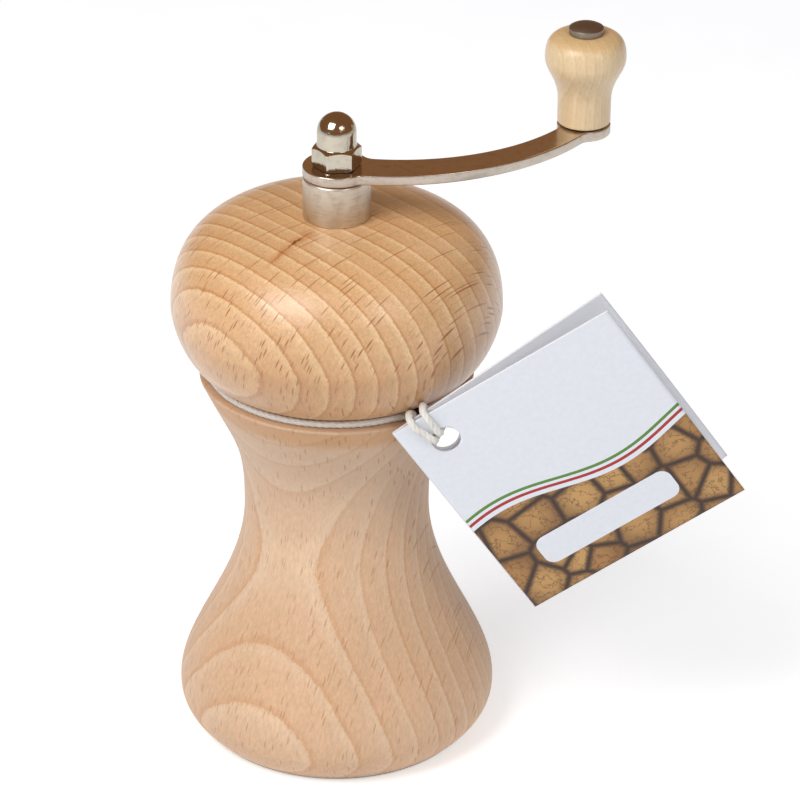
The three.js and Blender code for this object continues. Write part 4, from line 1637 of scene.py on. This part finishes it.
    def spring(self) -> Piece:
        """The spring: a wire that climbs round the shaft, radius (cos a, sin a), with upright ends.

        Returns:
            The spring.
        """
        lift = self.spring_wire
        low = self.spring_bottom + self.spring_end + lift
        high = self.spring_top - self.spring_end - lift
        lead = self.spring_lead / self.spring_turns
        coil = np.linspace(0, 1, self.spring_turns * self.spring_steps + 1)
        upright = np.linspace(0, 1, self.spring_end_points)
        bend = upright[1:-1]
        still = np.zeros(len(upright))
        turn = [still - lead, -lead * (1 - bend), coil, 1 + lead * bend, still + 1 + lead]
        rise = [
            self.spring_bottom + self.spring_end * upright,
            low - lift * (1 - bend),
            low + (high - low) * coil,
            high + lift * bend,
            high + lift + self.spring_end * upright,
        ]
        angle = np.concatenate(turn) * self.spring_turns * 2 * math.pi
        x, y = self.spring_radius * np.cos(angle), self.spring_radius * np.sin(angle)
        path = np.column_stack([x, y, np.concatenate(rise)])
        radius = np.full((len(path), self.spring_sides), self.spring_wire / 2)
        return grid_piece("coil_spring", tube(path, radius))

    def build(self) -> None:
        """Builds and dresses the crank and what hangs on its shaft."""
        steels = [ARM_STEEL.material(), EDGE_STEEL.material()]
        settle(self.arm(), Body.CRANK, steels, ["crank_arm"])
        settle(self.nut(), Body.CRANK, [NICKEL.material()], ["cap_nut"])
        steel = SPRING_STEEL.material()
        spring = settle(self.spring(), Body.SPINDLE, [steel], ["spring"])
        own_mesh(spring)
        zinc = ZINC_STEEL.material()
        for node in ("shaft", "claw_plate", "claw_nut", "thrust_washer", "knob_washer"):
            dress_solid(node, zinc)


@dataclass
class Knob:
    """The turned knob and the rivet that it spins on. Sizes in millimetres."""

    bottom: float = 142.5
    radius: float = 9.2
    base_radius: float = 6.05
    height: float = 21.5
    widest: float = 15.9
    stem: float = 5.3
    crown_radius: float = 4.4
    ease: float = 0.5
    stem_pull: float = 0.52
    bulb_pull: float = 0.3
    shoulder: float = 0.8
    crown: float = 0.62
    recess_radius: float = 4.7
    recess_depth: float = 0.8
    hole: float = 2.25
    rivet_radius: float = 2
    cap_radius: float = 3.95
    cap_height: float = 2.35
    cap_edge: float = 1.35
    foot_radius: float = 3.2
    foot_height: float = 1
    foot_taper: float = 0.75
    foot_gap: float = 0.3
    cap_gap: float = 0.1
    cap_fullness: float = 0.62
    bulb_steps: int = 36
    crown_steps: int = 28
    cap_steps: int = 28
    segments: int = 144
    rivet_segments: int = 96

    def grip_profile(self) -> Array:
        """Base, straight stem, bulb and crown outside, and the rivet's hole inside.

        Returns:
            The closed section.
        """
        base = eased(
            [
                (self.hole, self.recess_depth, 0),
                (self.recess_radius, self.recess_depth, 0),
                (self.recess_radius, 0, 0.1),
                (self.base_radius, 0, self.ease),
                (self.base_radius, self.stem, 0),
            ],
            closed=False,
            steps=4,
        )
        rise = self.widest - self.stem
        bulb = bezier(
            (self.base_radius, self.stem),
            (self.base_radius, self.stem + rise * self.stem_pull),
            (self.radius, self.widest - rise * self.bulb_pull),
            (self.radius, self.widest),
            self.bulb_steps,
        )
        upper = self.height - self.widest
        crown_reach = (self.radius - self.crown_radius) * self.crown
        top = bezier(
            (self.radius, self.widest),
            (self.radius, self.widest + upper * self.shoulder),
            (self.crown_radius + crown_reach, self.height - self.ease / 2),
            (self.crown_radius, self.height),
            self.crown_steps,
        )
        bore = np.array([[self.hole, self.height]])
        return np.vstack([base, bulb[1:], top[1:], bore])

    def rivet_profile(self, arm_bottom: float) -> Array:
        """The rivet's section: its closed foot under the arm, its pin, and the cap's edge and dome.

        Args:
            arm_bottom: Height of the arm's underside.

        Returns:
            Radius above the knob's bottom, from the axis below to the axis above.
        """
        foot = arm_bottom - self.foot_gap - self.bottom
        seat = self.height + self.cap_gap
        edge = np.array([self.cap_radius, seat + self.cap_edge])
        tip = np.array([0, seat + self.cap_height])
        handle = np.array([self.cap_radius * self.cap_fullness, tip[1]])
        first, second = edge + (handle - edge) * 2 / 3, tip + (handle - tip) * 2 / 3
        dome = bezier(edge, first, second, tip, self.cap_steps)
        lower = eased(
            [
                (0, foot - self.foot_height, 0),
                (self.foot_radius * self.foot_taper, foot - self.foot_height, 0.3),
                (self.foot_radius, foot - self.foot_height / 2, 0.2),
                (self.foot_radius, foot, 0.1),
                (self.rivet_radius, foot, 0),
                (self.rivet_radius, seat, 0),
                (self.cap_radius, seat, 0.12),
                (*edge, 0.2),
                (*dome[2], 0),
            ],
            closed=False,
            steps=4,
        )
        return np.vstack([lower, dome[3:]])

    def build(self, crank: Crank) -> None:
        """Builds and dresses the knob and its rivet.

        Args:
            crank: The crank, on whose boss they stand.
        """
        middle = crank.boss()
        turning = turned(self.grip_profile(), self.segments, middle, self.bottom)
        grip = grid_piece("knob_bulb", turning, True, TURNED_SHARP)
        mark_end_grain(grip)
        settle(grip, Body.KNOB, [KNOB_BEECH.material()], ["knob_grip"])
        profile = self.rivet_profile(crank.arm_bottom)
        rivet = grid_piece("knob_pin", turned(profile, self.rivet_segments, middle, self.bottom))
        settle(rivet, Body.CRANK, [RIVET_STEEL.material()], ["knob_rivet"])


@dataclass
class Tag:
    """The folded card and the cotton string that ties it to the neck.

    Sizes are in millimetres and angles in degrees. Places on the card are from its fold, away from the
    viewer, and up the fold from the top edge. Each strand says where it leaves the groove, how far right
    of and above the hole's middle it goes through, and how far right of it it crosses the top edge.
    """

    rim_height: float
    width: float = 56
    height: float = 60
    thickness: float = 0.4
    fold_radius: float = 0.3
    fold_points: int = 9
    fold_margin: float = 0.05
    card_sharp: float = 60
    top_opening: float = 7
    bottom_opening: float = 15
    hole_radius: float = 3.3
    hole_inset: float = 9
    hole_drop: float = 8.2
    hole_patch: int = 4
    ring_shares: tuple[float, ...] = (0, 0.25, 0.6, 1)
    corner: tuple[float, float, float] = (12.3, -32.1, 91.2)
    turn: float = 4.3
    lean: float = 7
    roll: float = -33.8
    string_radius: float = 0.85
    string_gap: float = 0.15
    string_tail: float = 4.6
    string_step: float = 0.28
    string_sides: int = 30
    loop_radius: float = 29.05
    loop_points: int = 30
    route_steps: int = 900
    groove_bend: float = 7
    right_strand: tuple[float, ...] = (-47, 0, 2.3, -0.1)
    left_strand: tuple[float, ...] = (-56, -2, 1.2, -3.7)
    plies: int = 3
    lay: float = 4.6
    ply_depth: float = 0.2
    knot_place: tuple[float, float, float] = (-0.85, 4.2, 1.55)
    knot_size: float = 0.44
    knot_flatness: float = 0.9
    knot_radius: float = 0.62
    knot_sides: int = 16
    knot_points: int = 121

    def rotation(self) -> Array:
        """How the card hangs: rolled in its own plane, leant back and turned a little.

        Returns:
            The matrix from the card's frame to the mill's.
        """
        roll = Matrix.Rotation(math.radians(self.roll), 3, "Y")
        lean = Matrix.Rotation(math.radians(self.lean), 3, "X")
        turn = Matrix.Rotation(math.radians(self.turn), 3, "Z")
        return np.array(turn @ lean @ roll)

    def on_card(self, local: Array) -> Array:
        """Places on the card, brought to the mill's frame."""
        return np.asarray(local, float) @ self.rotation().T + self.corner

    def opening(self, down: Array) -> Array:
        """The angle between the leaves, which grows evenly towards the foot."""
        growth = self.bottom_opening - self.top_opening
        return np.radians(self.top_opening + growth * down / self.height)

    def fold_half(self) -> float:
        """Half the length of the fold's arc, midway down the card."""
        return self.fold_radius * (math.pi - float(self.opening(self.height / 2))) / 2

    def from_fold(self, inset: float | Array) -> float | Array:
        """The way over the card from the fold's middle to a line that lies inset on a leaf."""
        return inset - self.fold_radius - self.thickness / 2 + self.fold_half()

    def sheet_point(self, along: Array, down: Array) -> Array:
        """The card's middle layer: the front leaf, a small arc for the fold, and the back leaf.

        Along is from the fold's middle, positive on the front leaf; the fold's arc turns from the front
        leaf's heading to the back leaf's, which opens more towards the foot.

        Args:
            along: Signed distance from the fold's middle.
            down: Distance below the top edge.

        Returns:
            Points in the card's frame.
        """
        opening = self.opening(down)
        r = self.fold_radius
        centre = r + self.thickness / 2
        bend = math.pi - opening
        arc_half = r * bend / 2
        flat = np.abs(along) - arc_half
        # Angle reached on the arc, from the front leaf's end of it.
        swept = np.clip((arc_half - along) / r, 0, bend)
        angle = -math.pi / 2 - swept
        x = centre + r * np.cos(angle)
        y = centre + r * np.sin(angle)
        front = along > arc_half
        back = along < -arc_half
        x = x + np.where(front, flat, 0) + np.where(back, flat * np.cos(opening), 0)
        y = y + np.where(back, flat * np.sin(opening), 0)
        return np.stack([x, y, -down], axis=-1)

    def hole_rings(self) -> Array:
        """Rings that fill the square about a hole: circle (1 - t) + square t.

        Returns:
            The grid of points about the hole's middle, ring by place, from the circle to the square.
        """
        side = np.arange(-self.hole_patch, self.hole_patch)
        edge = np.full(2 * self.hole_patch, self.hole_patch)
        ways = ((side, -edge), (edge, side), (-side, edge), (-edge, -side))
        square = np.vstack([np.column_stack(way) for way in ways]).astype(float)
        circle = square / np.linalg.norm(square, axis=1, keepdims=True) * self.hole_radius
        share = np.array(self.ring_shares)[:, None, None]
        return circle[None] * (1 - share) + square[None] * share

    def card(self) -> Piece:
        """The card: rows along both leaves and round the fold, with a ring patch about each hole.

        Returns:
            The card.
        """
        leaf = self.from_fold(np.arange(1, self.width + 1.0))
        fold = np.linspace(-self.fold_half(), self.fold_half(), self.fold_points)
        along = np.concatenate([leaf[::-1], fold[::-1], -leaf])
        down = np.concatenate([[0], np.arange(self.hole_drop % 1, self.height, 1), [self.height]])
        sheet = np.stack(np.meshgrid(along, down, indexing="ij"), axis=-1).reshape(-1, 2)
        cells = grid_faces(len(along), len(down), False, False)
        hole = np.array([self.from_fold(self.hole_inset), self.hole_drop])
        off = np.abs(np.abs(sheet[cells].mean(axis=1)) - hole)
        near_hole = (off < self.hole_patch).all(axis=1)
        faces = cells[~near_hole][:, ::-1].tolist()
        parts = [sheet]
        rings = self.hole_rings()
        for side in (1, -1):
            ring_faces = grid_faces(*rings.shape[:2], False) + sum(len(part) for part in parts)
            faces.extend(ring_faces[:, ::side].tolist())
            parts.append((rings * (side, 1) + hole * (side, 1)).reshape(-1, 2))
        flat = np.vstack(parts)
        local = self.sheet_point(flat[:, 0], flat[:, 1])
        piece = mesh_piece("folded_card", self.on_card(local), faces, self.card_sharp)
        self.map_card(piece)
        self.thicken(piece)
        return piece

    def map_card(self, piece: Piece) -> None:
        """Maps the card for its print: u from the back leaf's edge to the front's, v from the foot up.

        Args:
            piece: The card, before it has its thickness.
        """
        places = read_values(piece.data.vertices, "co") / MILLIMETRE - (MILL_X, 0, 0)
        own = (places - self.corner) @ self.rotation()
        past_fold = self.fold_radius + self.fold_margin
        on_back = own[:, 1] > np.tan(self.opening(-own[:, 2]) / 2) * own[:, 0] + past_fold
        distance = np.hypot(own[:, 0], np.where(on_back, own[:, 1], 0))
        u = 0.5 + np.where(on_back, -1, 1) * distance / (2 * self.width)
        map_corners(piece, "card", np.column_stack([u, 1 + own[:, 2] / self.height]))

    def thicken(self, piece: Piece) -> None:
        """Gives the card its thickness, printed outside, and plain on its inside and rim.

        Args:
            piece: The card.
        """
        solid = piece.modifiers.new("card thickness", "SOLIDIFY")
        solid.thickness = self.thickness * MILLIMETRE
        solid.offset = 0
        solid.material_offset = 1
        solid.material_offset_rim = 1

    def groove_point(self, degrees: float | Array, radius: float, lift: float = 0) -> Array:
        """A point over the rim, round the neck: radius (cos a, sin a).

        Args:
            degrees: The angle round the neck, from the right.
            radius: How far it lies from the mill's axis.
            lift: How far the string is lifted off the rim.

        Returns:
            The point, or a row of them.
        """
        angle = np.radians(degrees)
        height = np.full_like(angle, self.rim_height + self.string_radius + lift)
        return np.stack([radius * np.cos(angle), radius * np.sin(angle), height], axis=-1)

    def strand(self, leave: float, hole_x: float, hole_z: float, edge: float) -> Array:
        """One strand: from behind the card through its hole, up the front, over the edge, to the groove.

        Args:
            leave: Where it leaves the groove, in degrees round the neck.
            hole_x: How far right of the hole's middle it goes through.
            hole_z: How far above the hole's middle it goes through.
            edge: How far right of the hole it crosses the card's top edge.

        Returns:
            The points that it passes through.
        """
        x = self.hole_inset + hole_x
        z = hole_z - self.hole_drop
        edge_x = self.hole_inset + edge
        tail = self.string_tail
        front = self.string_radius + self.string_gap
        on_card = self.on_card(
            [
                (x, tail, z),
                (x, tail / 2, z),
                (x, self.thickness / 2, z),
                (x, -front, z + self.string_radius),
                ((x + edge_x) / 2, -front, z / 2),
                (edge_x, -front, -self.string_radius),
                (edge_x, -self.thickness / 2, front),
                (edge_x, tail / 2, front),
            ]
        )
        at_groove = self.groove_point(leave, self.loop_radius + self.string_radius, self.string_gap)
        return np.vstack([on_card, at_groove])

    def route(self) -> Array:
        """One strand, the loop round the neck, and the other strand back.

        Returns:
            The string's middle line.
        """
        right, left = self.strand(*self.right_strand), self.strand(*self.left_strand)
        start = self.right_strand[0] + self.groove_bend
        end = self.left_strand[0] + 360 - self.groove_bend
        loop = self.groove_point(np.linspace(start, end, self.loop_points), self.loop_radius)
        return smooth_route(np.vstack([right, loop, left[::-1]]), self.route_steps)

    def string(self) -> tuple[Piece, Array]:
        """The string: soft plies laid together, as one section that turns along the path.

        At an angle a the section's radius is R (1 - depth (1 - |cos(plies a / 2)|)), one crest a ply.

        Returns:
            The piece and its middle line in millimetres.
        """
        route = self.route()
        length = run_along(route)[-1]
        stations = np.linspace(0, length, int(length / self.string_step))
        path = points_at(route, stations)
        angle = whole_turn(self.string_sides)[None] - stations[:, None] / self.lay * 2 * math.pi
        hollow = 1 - np.abs(np.cos(self.plies * angle / 2))
        radius = self.string_radius * (1 - self.ply_depth * hollow)
        return self.cotton_tube("cotton_string", path, radius), path

    def knot(self) -> Piece:
        """The knot behind the card: a tube along (sin t + 2 sin 2t, -sin 3t, cos t - 2 cos 2t).

        Returns:
            The knot.
        """
        t = np.linspace(0, 2 * math.pi, self.knot_points)
        across, up = np.sin(t) + 2 * np.sin(2 * t), np.cos(t) - 2 * np.cos(2 * t)
        curve = np.column_stack([across, -np.sin(3 * t) * self.knot_flatness, up])
        hole = np.array([self.hole_inset, 0, -self.hole_drop])
        path = self.on_card(curve * self.knot_size + hole + self.knot_place)
        radius = np.full((len(path), self.knot_sides), self.knot_radius)
        return self.cotton_tube("string_knot", path, radius)

    @staticmethod
    def cotton_tube(name: str, path: Array, radius: Array) -> Piece:
        """Makes a length of string, mapped with u round it and v along it in metres.

        Args:
            name: The piece's name.
            path: Its middle line.
            radius: Its radius at each station and angle.

        Returns:
            The piece.
        """
        piece = grid_piece(name, tube(path, radius), sharp=NEVER_SHARP)
        sides = radius.shape[1]
        order = np.arange(len(piece.data.vertices)) - 1  # the first point closes the tube's end
        station = np.clip(order // sides, 0, len(path) - 1)
        places = np.column_stack([order % sides / sides, run_along(path)[station] * MILLIMETRE])
        map_corners(piece, "lay", places)
        return piece

    def build(self) -> None:
        """Builds and dresses the card, the string and its knot."""
        outside = CardStock("printed card", (244, 247, 254), 0.32, CardPrint(self.width, self.height))
        # The inside stock is whiter than the printed one, painted light against the shade between the
        # leaves.
        inside = CardStock("plain card", (250, 251, 255), 0.5)
        settle(self.card(), Body.TAG, [outside.material(), inside.material()], ["hang_tag"])
        cotton = STRING_COTTON.material()
        knot = settle(self.knot(), Body.TAG, [cotton])
        string, path = self.string()
        settle(string, Body.TAG, [cotton], ["tag_string"])
        2 * self.string_radius * MILLIMETRE


@dataclass
class Studio:
    """The camera, two soft square lamps, the pale floor and the dim room above.

    Sizes are in metres, those of the lens and its sensor in millimetres, and angles in degrees. Each lamp
    has its place, side, watts and roll.
    """

    view_angle: float = 28.5
    view_distance: float = 1.0
    lens: float = 195.75
    sensor: float = 36
    target: tuple[float, float, float] = (MILL_X * MILLIMETRE, 0.0, 0.073)
    shift: tuple[float, float] = (0.0791, 0.0474)
    sky: Tone = (250, 250, 255)
    ambient: float = 0.33
    left_lamp: tuple = ((-0.457, -0.445, 0.798), 0.5, 5.65, 12)
    right_lamp: tuple = ((0.42, -0.59, 0.697), 0.36, 1.45, 20)
    paper_radius: float = 0.25
    floor_radius: float = 2.5
    floor_drop: float = 0.00005
    floor_glow: float = 0.46
    floor_tones: tuple[Tone, Tone] = ((244, 244, 244), (250, 250, 250))
    room_radius: float = 4.0
    room_edge: float = 1.0
    room_tone: Tone = (148, 106, 72)
    room_steps: int = 24
    room_segments: int = 64
    floor_segments: int = 96

    def camera(self) -> None:
        """Looks at the mill along +y and down, with the mill left of the picture's middle."""
        angle = math.radians(self.view_angle)
        ahead = Vector((0, math.cos(angle), -math.sin(angle)))
        lens = bpy.data.cameras.new("camera")
        lens.lens = self.lens
        lens.sensor_width = self.sensor
        lens.shift_x, lens.shift_y = self.shift
        camera = bpy.data.objects.new("camera", lens)
        camera.location = Vector(self.target) - ahead * self.view_distance
        camera.rotation_euler = ahead.to_track_quat("-Z", "Y").to_euler()
        bpy.context.scene.collection.objects.link(camera)
        bpy.context.scene.camera = camera

    def lamp(self, name: str, place: Sequence[float], size: float, power: float, roll: float) -> None:
        """Adds one square lamp that faces the mill.

        Args:
            name: The lamp's name.
            place: Where it stands.
            size: Its side.
            power: Its power in watts.
            roll: Degrees that it is turned in its own plane.
        """
        light = bpy.data.lights.new(name, "AREA")
        light.shape = "SQUARE"
        light.size = size
        light.energy = power
        lamp = bpy.data.objects.new(name, light)
        lamp.location = place
        aim = (Vector(self.target) - Vector(place)).to_track_quat("-Z", "Y")
        lamp.rotation_euler = (aim.to_matrix() @ Matrix.Rotation(math.radians(roll), 3, "Z")).to_euler()
        bpy.context.scene.collection.objects.link(lamp)

    @staticmethod
    def seen(g: Graph) -> Signal:
        """One for what the camera sees, by itself, mirrored or through glass, and nought for light."""
        path = g.signals(g.add("LightPath"))
        return g.most(path["Is Camera Ray"], path["Is Glossy Ray"], path["Is Transmission Ray"])

    def world(self) -> None:
        """Even light on the object, and white behind it for the camera and in reflections."""
        world = bpy.data.worlds.new("studio")
        bpy.context.scene.world = world
        world.use_nodes = True
        g = Graph(world.node_tree)
        even = g.signal("Background", {"Color": colour(*self.sky), "Strength": self.ambient})
        white = g.signal("Background", {"Color": (1, 1, 1, 1), "Strength": 1.0})
        both = g.signal("MixShader", {0: self.seen(g), 1: even, 2: white})
        g.add("OutputWorld", {"Surface": both})

    def floor(self) -> None:
        """A wide pale floor that shows white where no shadow falls."""
        ring = np.array([[0, 0], [self.paper_radius, 0], [self.floor_radius, 0]]) / MILLIMETRE
        floor = grid_piece("floor", turned(ring, self.floor_segments)[::-1][:, ::-1])
        floor.location.z = -self.floor_drop
        material, g = empty_material("pale floor")
        pale = g.mix(g.noise(g.here(), 0.05), *(colour(*tone) for tone in self.floor_tones))
        matt = g.signal("BsdfDiffuse", {"Color": pale})
        glow = g.signal("Emission", {"Color": (1, 1, 1, 1), "Strength": self.seen(g) * self.floor_glow})
        g.add("OutputMaterial", {"Surface": g.signal("AddShader", {0: matt, 1: glow})})
        floor.data.materials.append(material)

    def room(self) -> None:
        """A brown dome above the paper sweep, which only reflections see."""
        low = math.radians(self.room_edge)
        dome = arc((0, 0), self.room_radius, low, math.pi / 2, self.room_steps) / MILLIMETRE
        room = grid_piece("room", turned(dome, self.room_segments))
        for way in ("camera", "diffuse", "transmission", "shadow", "volume_scatter"):
            setattr(room, f"visible_{way}", False)
        material, g = empty_material("dim room")
        glow = g.signal("Emission", {"Color": colour(*self.room_tone), "Strength": 1.0})
        g.add("OutputMaterial", {"Surface": glow})
        room.data.materials.append(material)

    def build(self) -> None:
        """Sets up the view, the light and the surroundings."""
        bpy.context.scene.view_settings.view_transform = "Standard"
        self.camera()
        self.world()
        self.floor()
        self.room()
        self.lamp("left lamp", *self.left_lamp)
        self.lamp("right lamp", *self.right_lamp)


def main() -> None:
    """Builds the scene: the cord and its tag first, then the mill from foot to knob."""
    logging.basicConfig(level=logging.INFO, format="%(message)s")
    Studio().build()
    body, crank = MillBody(), Crank()
    Tag(rim_height=body.height).build()
    body.build()
    MillHead().build()
    crank.build()
    Knob().build(crank)


if __name__ == "__main__":
    main()
